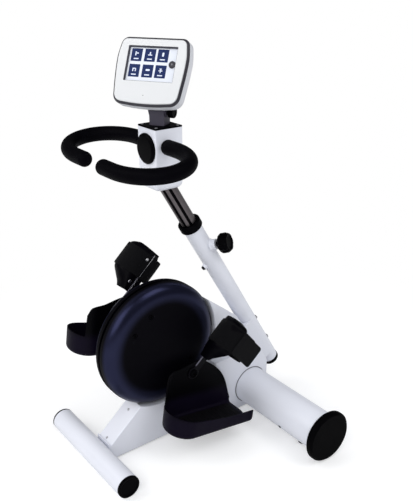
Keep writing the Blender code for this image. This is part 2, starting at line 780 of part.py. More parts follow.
def belt_loop(grow):
    """Round both pulleys with straight runs between them, in the crank's level frame."""
    spread = math.degrees(math.acos((PULLEY_RADIUS - MOTOR_PULLEY_RADIUS) / MOTOR_REACH))
    far = polar(MOTOR_REACH, MOTOR_ANGLE)
    big = arc((0, 0), PULLEY_RADIUS + grow, MOTOR_ANGLE + spread, MOTOR_ANGLE + 360 - spread, 24)
    small = arc(far, MOTOR_PULLEY_RADIUS + grow, MOTOR_ANGLE - spread, MOTOR_ANGLE + spread, 8)
    return big + small


def drive():
    hub = move(0, CRANK_Y, CRANK_Z)
    half = WEB_THICKNESS / 2
    foot = BEAM_BOTTOM + BEAM_HEIGHT + GAP - CRANK_Z
    front, back = WEB_FRONT - CRANK_Y, WEB_BACK - CRANK_Y
    motor = polar(MOTOR_REACH, MOTOR_ANGLE)
    outline = (arc((0, 0), WEB_HUB_RADIUS, 0, 180, 12)
               + [(front, -0.170), (front, foot), (back, foot), (back, -0.140)])
    web = side_plate("web_plate", [outline], -half, half, "steel", hub)
    web_hole = rod("bearing_hole", BEARING_HOUSING_RADIUS + GAP, -0.01, 0.01, 20, place=hub @ outward(1))
    motor_hub = hub @ move(0, *motor)
    shaft_hole = rod("motor_shaft_hole", MOTOR_SHAFT_RADIUS + 0.002, -0.01, 0.01, 12,
                     place=motor_hub @ outward(1))
    cut(web, web_hole, shaft_hole)

    left = -half - MOTOR_DEPTH
    right = half + 0.0035
    profile = ((BEARING_HOUSING_RADIUS, right), (BEARING_HOUSING_RADIUS, -half - GAP),
               (BEARING_HOUSING_RADIUS + 0.010, -half - GAP), (BEARING_HOUSING_RADIUS + 0.010, -half - 0.004),
               (BEARING_HOUSING_RADIUS, -half - 0.004), (BEARING_HOUSING_RADIUS, left),
               (BEARING_RADIUS + GAP, left), (BEARING_RADIUS + GAP, right))
    turned("bearing_housing", profile, 20, "aluminium", hub @ outward(1))
    ring("crank_bearing", BEARING_RADIUS, SHAFT_RADIUS + GAP, left, right, 20, "steel", hub @ outward(1))

    bore = MOTOR_SHAFT_RADIUS + GAP
    near = -half - GAP
    profile = ((0, left + 0.003), (bore, left + 0.003), (bore, near), (MOTOR_RADIUS - 0.003, near),
               (MOTOR_RADIUS, near - 0.003), (MOTOR_RADIUS, left + 0.003), (MOTOR_RADIUS - 0.003, left),
               (0, left))
    turned("drive_motor", profile, 24, "grey_plastic", motor_hub @ outward(1), closed=False)

    low = half + 0.006
    high = low + PULLEY_WIDTH
    profile = ((0, high), (MOTOR_PULLEY_RADIUS, high), (MOTOR_PULLEY_RADIUS, low),
               (MOTOR_SHAFT_RADIUS, low), (MOTOR_SHAFT_RADIUS, left + 0.003 + GAP), (0, left + 0.003 + GAP))
    turned("motor_pulley", profile, 16, "aluminium", motor_hub @ outward(1), closed=False)
    side_plate("drive_belt", [belt_loop(GAP + BELT_THICKNESS), belt_loop(GAP)], low + 0.001, high - 0.001,
               "black_rubber", hub)


# Pedals

def shell_stations():
    """Plan outline of the shell from the inner toe round the heel to the outer toe.

    Each station is x, y, inward direction, wall top above the sole and its point on the spine.
    """
    outer_x = GUARD_X + SHELL_WIDTH
    middle = GUARD_X + SHELL_WIDTH / 2
    guard_back = GUARD_OUTLINE[0][0]
    along = [TOE_Y, GUARD_OUTLINE[-1][0]] + [y for y, _ in reversed(GUARD_OUTLINE[:-1]) if y > HEEL_Y]
    along.append(HEEL_Y)
    stations = []
    for y in along:
        top = between(GUARD_OUTLINE, y) + SOLE_DROP if y < TOE_Y else between(RIM_HEIGHTS, y) * 0.5
        stations.append((GUARD_X, y, (1, 0), top, (middle, y)))
    edge = math.degrees(math.asin((HEEL_Y - guard_back) / HEEL_DEPTH))
    for angle in (edge * 0.5, edge, edge + 2.5, 55, 72, 90, 108, 126, 144, 162):
        u, v = polar(1, 180 + angle)
        x = middle + u * SHELL_WIDTH / 2
        y = HEEL_Y + v * HEEL_DEPTH
        normal = Vector((-u / SHELL_WIDTH * 2, -v / HEEL_DEPTH)).normalized()
        on_guard = angle <= edge + 0.01
        top = between(GUARD_OUTLINE, y) + SOLE_DROP if on_guard else between(RIM_HEIGHTS, y)
        stations.append((x, y, tuple(normal), top, (middle, HEEL_Y)))
    corner = TOE_Y - TOE_ROUND
    for y in [HEEL_Y] + [y for y in reversed(along[:-1]) if y < corner]:
        stations.append((outer_x, y, (-1, 0), between(RIM_HEIGHTS, y), (middle, y)))
    for angle in (0, 30, 60, 90):
        u, v = polar(TOE_ROUND, angle)
        y = corner + v
        point = (outer_x - TOE_ROUND + u, y)
        top = between(RIM_HEIGHTS, y) * (1 - 0.35 * (angle / 90) ** 2)
        stations.append((*point, (-u / TOE_ROUND, -v / TOE_ROUND), top, (middle, TOE_Y)))
    return stations


def foot_shell(axis):
    """Outer skin of the right shell as a grid, given its wall by Solidify."""
    work = bmesh.new()
    rows = []
    for x, y, inward, top, spine in shell_stations():
        row = [work.verts.new((x, y, top - SOLE_DROP))]
        for angle in (0, 45, 90):
            inset = SOLE_ROUND * (1 - math.cos(math.radians(angle)))
            lift = SOLE_ROUND * (1 - math.sin(math.radians(angle)))
            row.append(work.verts.new((x + inward[0] * inset, y + inward[1] * inset, lift - SOLE_DROP)))
        row.append(work.verts.new((*spine, -SOLE_DROP)))
        rows.append(row)
    for first, second in zip(rows, rows[1:]):
        for i in range(len(first) - 1):
            work.faces.new((first[i], first[i + 1], second[i + 1], second[i]))
    bmesh.ops.remove_doubles(work, verts=work.verts, dist=0.00001)
    bmesh.ops.recalc_face_normals(work, faces=work.faces)
    mesh = bpy.data.meshes.new("foot_shell_right")
    work.to_mesh(mesh)
    work.free()
    shell = add("foot_shell_right", mesh, "black_plastic", parent=axis)
    skin = shell.modifiers.new("wall", "SOLIDIFY")
    skin.thickness = SHELL_WALL
    skin.offset = -1
    skin.use_even_offset = True
    hub_start = DISC_FACE_X + 0.0035
    hub = rod("pedal_hub", HUB_RADIUS, hub_start, GUARD_X + SHELL_WALL / 2, 20, place=outward(1), parent=axis)
    bore = rod("pedal_bore", SPINDLE_RADIUS + GAP, hub_start - 0.01, GUARD_X + 0.02, 16, place=outward(1),
               parent=axis)
    join(shell, hub)
    cut(shell, bore)
    return shell


# Calf guides

def calf_arm(axis):
    inside = GUARD_X + SHELL_WALL + GAP
    high = ARM_BAR_RISE
    low = ARM_BAR_RISE - ARM_BAR_WIDTH
    soft = ARM_BAR_WIDTH * 0.4
    first = math.degrees(math.asin(high / EYE_RADIUS))
    last = 360 + math.degrees(math.asin(low / EYE_RADIUS))
    outline = (arc((0, 0), EYE_RADIUS, first, last, 14)
               + arc((ARM_BAR_END - soft, low + soft), soft, -90, 0, 4)
               + arc((ARM_BAR_END - soft, high - soft), soft, 0, 90, 4))
    hole = arc((0, 0), SPINDLE_RADIUS + GAP, 0, 337.5, 15)
    arm = side_plate("calf_arm_right", [outline, hole], inside, inside + ARM_BAR_THICKNESS, "steel",
                     parent=axis)
    return arm


def calf_section(steps):
    """Angles of the arch's points; the strap uses the same ones."""
    return [180 - 180 * i / steps for i in range(steps + 1)]


def calf_shell(axis):
    inner_x = GUARD_X + SHELL_WALL + 2 * GAP + ARM_BAR_THICKNESS
    flange = ARM_BAR_RISE - ARM_BAR_WIDTH * 0.9
    strap_low = STRAP_MIDDLE - STRAP_WIDTH / 2 - 0.004
    strap_high = STRAP_MIDDLE + STRAP_WIDTH / 2 + 0.004
    stops = ((CALF_START, CALF_FOOT_SHARE, 0.10), (CALF_START + 0.012, 0.48, 0.30),
             (CALF_START + 0.026, 0.68, 0.62), (strap_low, 0.92, 0.92), (strap_high, 1, 1),
             (CALF_END - 0.016, 0.97, 0.93), (CALF_END - 0.007, 0.88, 0.80), (CALF_END, 0.62, 0.60))
    work = bmesh.new()
    rows = []
    for y, wide, deep in stops:
        half = CALF_WIDTH / 2 * wide
        row = [work.verts.new((inner_x, y, flange))]
        for angle in calf_section(8):
            u, v = polar(1, angle)
            row.append(work.verts.new((inner_x + half + half * u, y, CALF_RIM + CALF_DEPTH * deep * v)))
        rows.append(row)
    for first, second in zip(rows, rows[1:]):
        for i in range(len(first) - 1):
            work.faces.new((first[i], second[i], second[i + 1], first[i + 1]))
    mesh = bpy.data.meshes.new("calf_shell_right")
    work.to_mesh(mesh)
    work.free()
    shell = add("calf_shell_right", mesh, "black_plastic", parent=axis)
    skin = shell.modifiers.new("wall", "SOLIDIFY")
    skin.thickness = CALF_WALL
    skin.offset = 1
    skin.use_even_offset = True
    return shell


def calf_strap(axis):
    inner_x = GUARD_X + SHELL_WALL + 2 * GAP + ARM_BAR_THICKNESS
    left = GUARD_X + SHELL_WALL
    right = inner_x + CALF_WIDTH + 2 * GAP
    middle = (left + right) / 2
    half = (right - left) / 2

    def loop(grow):
        points = []
        for angle in calf_section(8):
            u, v = polar(1, angle)
            points.append((middle + (half + grow) * u, CALF_RIM + (CALF_DEPTH + STRAP_LIFT + grow) * v))
        for i in range(9):
            u, v = polar(1, -180 * i / 8)
            hang = STRAP_SAG - STRAP_DROP + grow
            points.append((middle + (half + grow) * u, CALF_RIM - STRAP_DROP + hang * v))
        return points

    flat = Matrix(((1, 0, 0, 0), (0, 0, -1, 0), (0, 1, 0, 0), (0, 0, 0, 1)))
    low = STRAP_MIDDLE - STRAP_WIDTH / 2
    high = STRAP_MIDDLE + STRAP_WIDTH / 2
    strap = plate("calf_strap_right", [loop(STRAP_THICKNESS), loop(0)], -high, -low, "webbing", flat, axis)
    edge = right + STRAP_THICKNESS - 0.001
    flap = box("strap_flap", (STRAP_THICKNESS, STRAP_WIDTH - 0.004, FLAP_LENGTH),
               (edge + STRAP_THICKNESS / 2, STRAP_MIDDLE, CALF_RIM + 0.010 - FLAP_LENGTH / 2), parent=axis)
    join(strap, flap)
    return strap


def riveted(arm, trough, axis):
    """Two rivets, swaged into the steel arm, that hold the shell's flange."""
    inside = GUARD_X + SHELL_WALL + GAP
    outside = inside + ARM_BAR_THICKNESS + GAP + CALF_WALL
    profile = ((0, outside + 0.0016), (RIVET_RADIUS, outside + 0.0016), (RIVET_HEAD, outside + GAP),
               (RIVET_RADIUS, outside + GAP), (RIVET_RADIUS, inside + 0.001), (0, inside + 0.001))
    height = ARM_BAR_RISE - ARM_BAR_WIDTH / 2
    places = [move(0, y, height) @ outward(1) for y in RIVET_PLACES]
    model = turned("rivet_model", profile, 10, closed=False)
    join(arm, copies("calf_rivets", model, places, None, axis))
    hole = rod("rivet_hole_model", RIVET_RADIUS + GAP, inside + ARM_BAR_THICKNESS, outside + 0.01, 10)
    cut(trough, copies("rivet_holes", hole, places, None, axis))


def legs(crank_axis):
    axes = {}
    for side_name, side in SIDES:
        place = move(0, side * CRANK_RADIUS, 0) @ turn(SHELL_TILT - CRANK_ANGLE, "X")
        pedal = pivot("pedal_axis_" + side_name, place, crank_axis)
        lift = CALF_ANGLES[side_name] - SHELL_TILT
        axes[side_name] = (pedal, pivot("calf_axis_" + side_name, turn(lift, "X"), pedal))
    pedal, calf = axes["right"]
    shell = foot_shell(pedal)
    arm = calf_arm(calf)
    trough = calf_shell(calf)
    strap = calf_strap(calf)
    riveted(arm, trough, calf)
    pedal, calf = axes["left"]
    copies("foot_shell_left", shell, [MIRROR], "black_plastic", pedal)
    copies("calf_arm_left", arm, [MIRROR], "steel", calf)
    copies("calf_shell_left", trough, [MIRROR], "black_plastic", calf)
    copies("calf_strap_left", strap, [MIRROR], "webbing", calf)


# Column

def column_frame():
    y, z = column_foot()
    return move(0, y, z) @ turn(COLUMN_LEAN, "X")


def across(place, degrees):
    """At a place along the column, local +Z out of the tube, turned from +X to its back."""
    return column_frame() @ move(0, 0, place) @ turn(degrees, "Z") @ turn(90, "Y")


def column():
    frame = column_frame()
    bore = COLUMN_RADIUS - COLUMN_WALL
    tube_obj = ring("column_tube", COLUMN_RADIUS, bore, COLUMN_CAP_LIP + GAP, COLUMN_LENGTH, 24,
                    "white_paint", frame)
    clamp = across(CLAMP_PLACE, CLAMP_TURN)
    guide = across(GUIDE_PLACE, -90)
    clamp_boss = rod("clamp_boss", CLAMP_BOSS_RADIUS, COLUMN_RADIUS - 0.002, CLAMP_BOSS_REACH, 20, place=clamp)
    guide_boss = rod("guide_boss", GUIDE_BOSS_RADIUS, COLUMN_RADIUS - 0.002, GUIDE_BOSS_REACH, 16, place=guide)
    join(tube_obj, clamp_boss, guide_boss)
    inside = POST_RADIUS + GAP
    clamp_hole = rod("clamp_hole", STUD_RADIUS + GAP, inside - 0.004, CLAMP_BOSS_REACH + 0.01, 16, place=clamp)
    guide_hole = rod("guide_hole", 0.0033, inside - 0.004, GUIDE_BOSS_REACH + 0.01, 12, place=guide)
    cut(tube_obj, clamp_hole, guide_hole)

    lip = COLUMN_CAP_LIP
    profile = ((0, lip + 0.014), (bore - 0.003, lip + 0.014), (bore - GAP, lip + 0.012), (bore - GAP, lip),
               (COLUMN_RADIUS, lip), (COLUMN_RADIUS, COLUMN_CAP_EDGE), (COLUMN_RADIUS - 0.003, 0), (0, 0))
    turned("column_bottom_cap", profile, 24, "black_plastic", frame, closed=False)

    start = CLAMP_BOSS_REACH + 0.003
    knob_low, knob_high = CLAMP_KNOB_REACH, CLAMP_KNOB_REACH + CLAMP_KNOB_DEPTH
    profile = ((0, knob_high), (CLAMP_KNOB_RADIUS - 0.006, knob_high),
               (CLAMP_KNOB_RADIUS - 0.001, knob_high - 0.004), (CLAMP_KNOB_RADIUS, knob_high - 0.010),
               (CLAMP_KNOB_RADIUS, knob_low + 0.006), (CLAMP_KNOB_RADIUS - 0.006, knob_low),
               (0.012, knob_low - 0.001), (0.011, start), (STUD_RADIUS, start), (STUD_RADIUS, inside),
               (0, inside))
    turned("clamp_knob", profile, 20, "black_plastic", clamp, closed=False)
    head = GUIDE_BOSS_REACH + GAP
    profile = ((0, head + 0.004), (0.0055, head + 0.004), (0.0060, head), (0.0030, head), (0.0030, inside),
               (0, inside))
    turned("guide_screw", profile, 12, "black_plastic", guide, closed=False)

    post_top = (HEAD_BOTTOM + HEAD_WALL + SOCKET_HEIGHT - 0.014 - COLUMN_FOOT_Z) \
        / math.cos(math.radians(COLUMN_LEAN))
    post_low = COLUMN_LENGTH - POST_INSERT
    post = rod("inner_post", POST_RADIUS, post_low, post_top, 24, "aluminium", frame)
    for degrees in (-60, -15, 120, 165):
        groove = frame @ turn(degrees, "Z")
        cut(post, box("post_groove_%d" % (degrees % 360),
                      (POST_SLOT_DEPTH * 2, POST_SLOT_WIDTH, post_top - post_low + 0.02),
                      (POST_RADIUS, 0, (post_low + post_top) / 2), place=groove))

    wear = POST_RADIUS + GAP
    top = COLUMN_LENGTH + COLLAR_TOP
    skirt = COLUMN_LENGTH - COLLAR_SKIRT
    profile = ((COLLAR_RADIUS - 0.003, top), (COLLAR_RADIUS, top - 0.003), (COLLAR_RADIUS, skirt),
               (COLUMN_RADIUS + GAP, skirt), (COLUMN_RADIUS + GAP, COLUMN_LENGTH + GAP),
               (bore - GAP, COLUMN_LENGTH + GAP), (bore - GAP, COLUMN_LENGTH - BUSH_DEPTH),
               (wear, COLUMN_LENGTH - BUSH_DEPTH), (wear, top))
    turned("column_collar", profile, 24, "black_plastic", frame)
    saddle(tube_obj, frame)
    return post_top


def saddle(tube_obj, frame):
    """Bracket that holds the column off the covers, with its two bolts."""
    thick = COLUMN_STANDOFF - GAP
    middle = (SADDLE_LOW + SADDLE_HIGH) / 2
    bracket = box("column_saddle", (SADDLE_WIDTH, thick, SADDLE_HIGH - SADDLE_LOW), (0, -thick / 2, middle),
                  "white_paint", frame)
    round_edges(bracket, 0.003)
    cradle = rod("column_cradle", COLUMN_RADIUS + GAP, SADDLE_LOW - 0.02, SADDLE_HIGH + 0.02, 24, place=frame)
    cut(bracket, cradle)
    head = COLUMN_RADIUS + GAP
    tip = COLUMN_STANDOFF - GAP - 0.001
    profile = ((0, head + 0.004), (0.0055, head + 0.004), (0.0070, head + 0.0025), (0.0070, head),
               (BOLT_RADIUS, head), (BOLT_RADIUS, -tip), (0, -tip))
    for name, distance in SADDLE_BOLTS:
        place = across(distance, 90)
        hole = rod("saddle_hole_" + name, BOLT_RADIUS + GAP, -COLUMN_STANDOFF - 0.01, COLUMN_STANDOFF, 12,
                   place=place)
        cut(bracket, hole)
        cut(tube_obj, hole)
        turned("saddle_bolt_" + name, profile, 12, "steel", place, closed=False)


# Head and handlebar

def bar_height(y):
    return BAR_Z - BAR_SLOPE * (BAR_Y - y)


def bar_path():
    """Right half of the loop's centre line, from the head to the front end."""
    wide = BAR_HALF_WIDTH
    back, front = BAR_Y, BAR_FRONT_Y
    middle = (back + front) / 2
    points = [(0.0, back), ((HEAD_SIZE / 2 + wide - BAR_CORNER) / 2, back)]
    for degrees in range(90, -91, -15):
        u, v = polar(1, degrees)
        points.append((wide - BAR_CORNER + BAR_CORNER * u, middle + (back - middle) * v))
    points += [((BAR_END_X + wide - BAR_CORNER) / 2, front), (BAR_END_X, front)]
    clean = [points[0]]
    for point in points[1:]:
        if math.dist(point, clean[-1]) > 0.001:
            clean.append(point)
    return [(x, y, bar_height(y)) for x, y in clean]


def head(post_top):
    frame = column_frame()
    top = HEAD_TOP - TOP_PLATE - GAP
    height = top - HEAD_BOTTOM
    shell = box("head_box", (HEAD_SIZE, HEAD_SIZE, height), (0, HEAD_Y, HEAD_BOTTOM + height / 2),
                "white_paint")

    def head_rule(first, second):
        if max(first.z, second.z) < HEAD_BOTTOM + height / 2:
            return 1.0
        return HEAD_EDGE / HEAD_FOOT_ROUND if abs(first.z - second.z) > height / 2 else 0.0

    weigh_edges(shell, head_rule)
    bevel = shell.modifiers.new("round", "BEVEL")
    bevel.width = HEAD_FOOT_ROUND
    bevel.segments = 3
    bevel.limit_method = "WEIGHT"
    inner = HEAD_SIZE - 2 * HEAD_WALL
    room = height - SOCKET_HEIGHT
    cavity = box("head_cavity", (inner, inner, room), (0, HEAD_Y, top - room / 2 + 0.001))
    bar_hole = rod("bar_hole", BAR_RADIUS + GAP, -HEAD_SIZE, HEAD_SIZE, 16,
                   place=move(0, BAR_Y, BAR_Z) @ outward(1))
    post_hole = rod("post_hole", POST_RADIUS + GAP, COLUMN_LENGTH, post_top + GAP, 24, place=frame)
    cut(shell, cavity, post_hole, bar_hole)

    plate_top = HEAD_TOP
    top_plate = box("head_top_plate", (HEAD_SIZE, HEAD_SIZE, TOP_PLATE),
                    (0, HEAD_Y, plate_top - TOP_PLATE / 2), "black_plastic")
    pin_hole = rod("swivel_pin_hole", SWIVEL_PIN_RADIUS + GAP, HEAD_TOP - 0.02, HEAD_TOP + 0.02, 16,
                   place=move(0, HEAD_Y, 0))
    cut(top_plate, pin_hole)

    face = HEAD_Y - HEAD_SIZE / 2
    cap_place = move(0, face, FRONT_CAP_Z) @ turn(90, "X")
    radius = FRONT_CAP_RADIUS
    profile = ((0, FRONT_CAP_PROUD), (radius - 0.008, FRONT_CAP_PROUD),
               (radius - 0.002, FRONT_CAP_PROUD - 0.002), (radius, FRONT_CAP_PROUD - 0.005), (radius, GAP),
               (0.006, GAP), (0.006, -0.010), (0, -0.010))
    turned("head_front_cap", profile, 24, "black_plastic", cap_place, closed=False)
    cut(shell, rod("cap_stem_hole", 0.006 + GAP, -0.02, 0.01, 12, place=cap_place))


def handlebar():
    right = bar_path()
    left = [(-x, y, z) for x, y, z in reversed(right[1:])]
    tube("handlebar", left + right, BAR_RADIUS, 2, "steel")
    start = HEAD_SIZE / 2 + GAP
    first = (start, right[0][1], right[0][2])
    path = [first] + [point for point in right if point[0] > start or point[1] < (BAR_Y + BAR_FRONT_Y) / 2]
    end = (BAR_END_X - GRIP_END, path[-1][1], path[-1][2])
    grip = tube("grip_model", path + [end], GRIP_RADIUS, 3)
    bore_path = [(0, right[0][1], right[0][2])] + right[1:-1] + [(BAR_END_X - GAP, *right[-1][1:])]
    bore = tube("grip_bore", bore_path, (BAR_RADIUS + GAP) / math.cos(math.pi / 8), 2)
    cut(grip, bore)
    for side_name, place in (("right", Matrix()), ("left", MIRROR)):
        copies("grip_" + side_name, grip, [place], "foam")


# Console

def console_outline(inset, shift_x, shift_z):
    """The face seen from the front: bowed edges and round corners, drawn in by inset."""
    low, widest = FACE_BOTTOM_HALF_WIDTH - inset, FACE_HALF_WIDTH - inset
    high = FACE_TOP_HALF_WIDTH - inset
    top, bottom = FACE_TOP - inset, FACE_BOTTOM + FACE_BOTTOM_BOW + inset
    upper = max(FACE_TOP_ROUND - inset, 0.002)
    lower = max(FACE_BOTTOM_ROUND - inset, 0.002)
    right = (arc((low - lower, bottom + lower), lower, -82, 0, 5) + [(widest, FACE_WIDEST)]
             + arc((high - upper, top - upper), upper, 0, 90, 5))
    points = [(0, FACE_BOTTOM + inset)] + right + [(-x, z) for x, z in reversed(right)]
    return [(x + shift_x, z + shift_z) for x, z in points]


def rectangle(half_width, half_height, shift_x, shift_z):
    return [(shift_x + x * half_width, shift_z + z * half_height)
            for x, z in ((-1, -1), (1, -1), (1, 1), (-1, 1))]


def console():
    swivel = pivot("console_swivel_axis", move(0, HEAD_Y, HEAD_TOP) @ turn(SWIVEL_ANGLE, "Z"))
    rise = TILT_Z - HEAD_TOP
    half_depth = NECK_DEPTH / 2
    outline = [(-half_depth, GAP), (half_depth, GAP)] + arc((0, rise), half_depth, 0, 180, 12)
    neck = side_plate("console_neck", [outline], -NECK_WIDTH / 2, NECK_WIDTH / 2, "grey_plastic",
                      parent=swivel)
    pin = rod("swivel_pin", SWIVEL_PIN_RADIUS, -SWIVEL_PIN_LENGTH, 0.010, 16, parent=swivel)
    join(neck, pin)
    across_neck = move(0, 0, rise) @ outward(1)
    cut(neck, rod("tilt_bolt_hole", TILT_BOLT_RADIUS + GAP, -NECK_WIDTH, NECK_WIDTH, 12, place=across_neck,
                  parent=swivel))

    tilt = pivot("console_tilt_axis", move(0, 0, rise) @ turn(-TILT_ANGLE, "X"), swivel)
    x0, z0 = FACE_SHIFT, FACE_RISE
    # Local X, Y, Z of a face outline become the console's X, Z and -Y, towards the user
    facing = Matrix(((1, 0, 0, 0), (0, 0, -1, 0), (0, 1, 0, 0), (0, 0, 0, 1)))
    face = FACE_REACH
    back = face - BEZEL_DEPTH
    bezel = plate("console_bezel", [console_outline(0, x0, z0)], back, face, "console_white", facing, tilt)
    round_edges(bezel, 0.004, 2)
    panel = face - PANEL_DEPTH
    field = plate("panel_field", [rectangle(PANEL_WIDTH / 2, PANEL_HEIGHT / 2, x0, z0)], panel, face + 0.01,
                  None, facing, tilt)
    screen_x = x0 + SCREEN_SHIFT
    pocket_floor = panel - SCREEN_THICKNESS
    pocket = plate("screen_pocket", [rectangle(SCREEN_WIDTH / 2 + GAP, SCREEN_HEIGHT / 2 + GAP, screen_x, z0)],
                   pocket_floor, face + 0.01, None, facing, tilt)
    hollow = plate("bezel_hollow", [console_outline(CASE_WALL, x0, z0)], back - 0.01, pocket_floor - CASE_WALL,
                   None, facing, tilt)
    button_place = facing @ move(x0 + BUTTON_X, z0 + BUTTON_Z, 0)
    cut(bezel, field, pocket, hollow,
        rod("button_hole", BUTTON_RADIUS + GAP, back, face + 0.01, 16, place=button_place, parent=tilt))
    plate("touch_screen", [rectangle(SCREEN_WIDTH / 2, SCREEN_HEIGHT / 2, screen_x, z0)], pocket_floor + GAP,
          pocket_floor + GAP + SCREEN_THICKNESS, "screen_glass", facing, tilt)
    inner_face = pocket_floor - CASE_WALL
    button_top = panel + 2 * BUTTON_TRAVEL
    profile = ((0, button_top), (BUTTON_RADIUS - 0.0015, button_top),
               (BUTTON_RADIUS, button_top - 0.001), (BUTTON_RADIUS, inner_face - GAP),
               (BUTTON_RADIUS + 0.0015, inner_face - GAP), (BUTTON_RADIUS + 0.0015, inner_face - 0.002),
               (0, inner_face - 0.002))
    turned("home_button", profile, 16, "grey_plastic", button_place, tilt, closed=False)
    front = back - GAP
    plate("console_gasket", [console_outline(0.0012, x0, z0), console_outline(CASE_WALL + 0.001, x0, z0)],
          front - GASKET_DEPTH, front, "gasket_grey", facing, tilt)
    rear_shell(tilt, facing, front - GASKET_DEPTH - GAP, x0, z0)
    tilt_parts(tilt, swivel, across_neck)


def rear_shell(tilt, facing, front, x0, z0):
    """Rear half of the case: rings drawn in towards the flat back, given its wall by Solidify."""
    back = FACE_REACH - BEZEL_DEPTH - GASKET_DEPTH - REAR_SHELL_DEPTH - 2 * GAP
    depth = front - back
    rings = ((0, front), (0, front - depth * 0.55), (0.004, front - depth * 0.80),
             (0.011, front - depth * 0.95), (0.020, back))
    work = bmesh.new()
    rows = []
    for inset, height in rings:
        rows.append([work.verts.new((x, z, height)) for x, z in console_outline(inset, x0, z0)])
    for first, second in zip(rows, rows[1:]):
        count = len(first)
        for i in range(count):
            j = (i + 1) % count
            work.faces.new((first[i], second[i], second[j], first[j]))
    work.faces.new(list(reversed(rows[-1])))
    bmesh.ops.recalc_face_normals(work, faces=work.faces)
    mesh = bpy.data.meshes.new("console_rear_shell")
    work.to_mesh(mesh)
    work.free()
    shell = add("console_rear_shell", mesh, "console_white", facing, tilt)
    skin = shell.modifiers.new("wall", "SOLIDIFY")
    skin.thickness = CASE_WALL
    skin.offset = -1
    skin.use_even_offset = True


def tilt_parts(tilt, swivel, across_neck):
    back = FACE_REACH - BEZEL_DEPTH - GASKET_DEPTH - REAR_SHELL_DEPTH - 2 * GAP
    inside = NECK_WIDTH / 2 + 0.0004
    outside = inside + EAR_THICKNESS
    flange_front = -(back - GAP)
    flange_back = flange_front + EAR_THICKNESS - 0.0005
    strip_front, strip_back = flange_front + GAP, flange_back - GAP
    outline = (arc((0, 0), EAR_RADIUS, 60, -120, 10)
               + [(strip_front, 0.0), (strip_front, EAR_HEIGHT), (strip_back, EAR_HEIGHT)])
    hole = arc((0, 0), TILT_BOLT_RADIUS + GAP, 0, 330, 11)
    bracket = side_plate("tilt_bracket", [outline, hole], -outside, -inside, "grey_plastic", parent=tilt)
    other = side_plate("tilt_ear", [outline, hole], inside, outside, None, parent=tilt)
    flange = box("tilt_flange", (inside + outside, flange_back - flange_front, EAR_HEIGHT - 0.004),
                 (0, (flange_front + flange_back) / 2, EAR_HEIGHT / 2 + 0.002), parent=tilt)
    join(bracket, other, flange)

    start = outside + 0.001
    knob = TILT_KNOB_REACH
    profile = ((0, knob + TILT_KNOB_DEPTH), (TILT_KNOB_RADIUS - 0.002, knob + TILT_KNOB_DEPTH),
               (TILT_KNOB_RADIUS, knob + TILT_KNOB_DEPTH - 0.002), (TILT_KNOB_RADIUS, knob + 0.001),
               (TILT_KNOB_RADIUS - 0.001, knob), (0.007, knob), (0.007, start), (TILT_BOLT_RADIUS, start),
               (TILT_BOLT_RADIUS, -outside - 0.001), (0, -outside - 0.001))
    turned("tilt_knob", profile, 16, "black_plastic", across_neck, swivel, closed=False)


def shade():
    """Round faces smooth, corners sharp."""
    for obj in PARTS.objects:
        if obj.type == "MESH":
            obj.data.shade_smooth()
            obj.data.set_sharp_from_angle(angle=math.radians(35))


clear_scene()
PARTS = new_collection("active_passive_trainer")
CUTTERS = new_collection("cutters")
front_foot()
base()
rear_foot()
drive()
CRANK_AXIS = pivot("crank_axis", move(0, CRANK_Y, CRANK_Z) @ turn(CRANK_ANGLE, "X"))
crank(CRANK_AXIS)
legs(CRANK_AXIS)
head(column())
handlebar()
console()
shade()
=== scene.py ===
import math

import bmesh
import bpy
from mathutils import Matrix, Vector


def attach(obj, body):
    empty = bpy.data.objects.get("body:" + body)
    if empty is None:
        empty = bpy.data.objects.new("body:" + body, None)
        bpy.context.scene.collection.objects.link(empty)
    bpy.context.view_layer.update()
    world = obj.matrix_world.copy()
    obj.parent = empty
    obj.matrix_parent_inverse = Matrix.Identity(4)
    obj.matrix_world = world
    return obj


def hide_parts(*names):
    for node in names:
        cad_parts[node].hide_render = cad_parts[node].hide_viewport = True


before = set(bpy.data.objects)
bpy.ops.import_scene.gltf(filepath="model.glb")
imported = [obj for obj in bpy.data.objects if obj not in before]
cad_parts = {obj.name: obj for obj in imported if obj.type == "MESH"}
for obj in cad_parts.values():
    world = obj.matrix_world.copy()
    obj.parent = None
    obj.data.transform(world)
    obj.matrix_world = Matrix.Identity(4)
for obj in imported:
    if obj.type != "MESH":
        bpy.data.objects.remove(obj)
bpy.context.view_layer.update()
print("frame loaded:", len(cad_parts), "nodes")

# Metres. The user sits at -Y, +X is the user's right, the floor is z = 0.
airGap = 0.0003
sides = (("Right", "right", 1), ("Left", "left", -1))
mirror = Matrix.Scale(-1, 4, (1, 0, 0))
flips = {1: Matrix(), -1: mirror}
sideView = Matrix(((0, 0, 1, 0), (1, 0, 0, 0), (0, 1, 0, 0), (0, 0, 0, 1)))   # outline X, Y -> world Y, Z


def at(x, y, z):
    return Matrix.Translation((x, y, z))


def spin(degrees, axis):
    return Matrix.Rotation(math.radians(degrees), 4, axis)


def outwards(side):
    return spin(90 * side, "Y")         # local +Z points away from the middle plane


def polar(radius, degrees):
    return radius * math.cos(math.radians(degrees)), radius * math.sin(math.radians(degrees))


def circle(radius, steps):
    return [polar(radius, 360 * k / steps) for k in range(steps)]


def bow(centre, radius, start, end, steps):
    made = []
    for i in range(steps + 1):
        u, v = polar(radius, start + (end - start) * i / steps)
        made.append((centre[0] + u, centre[1] + v))
    return made


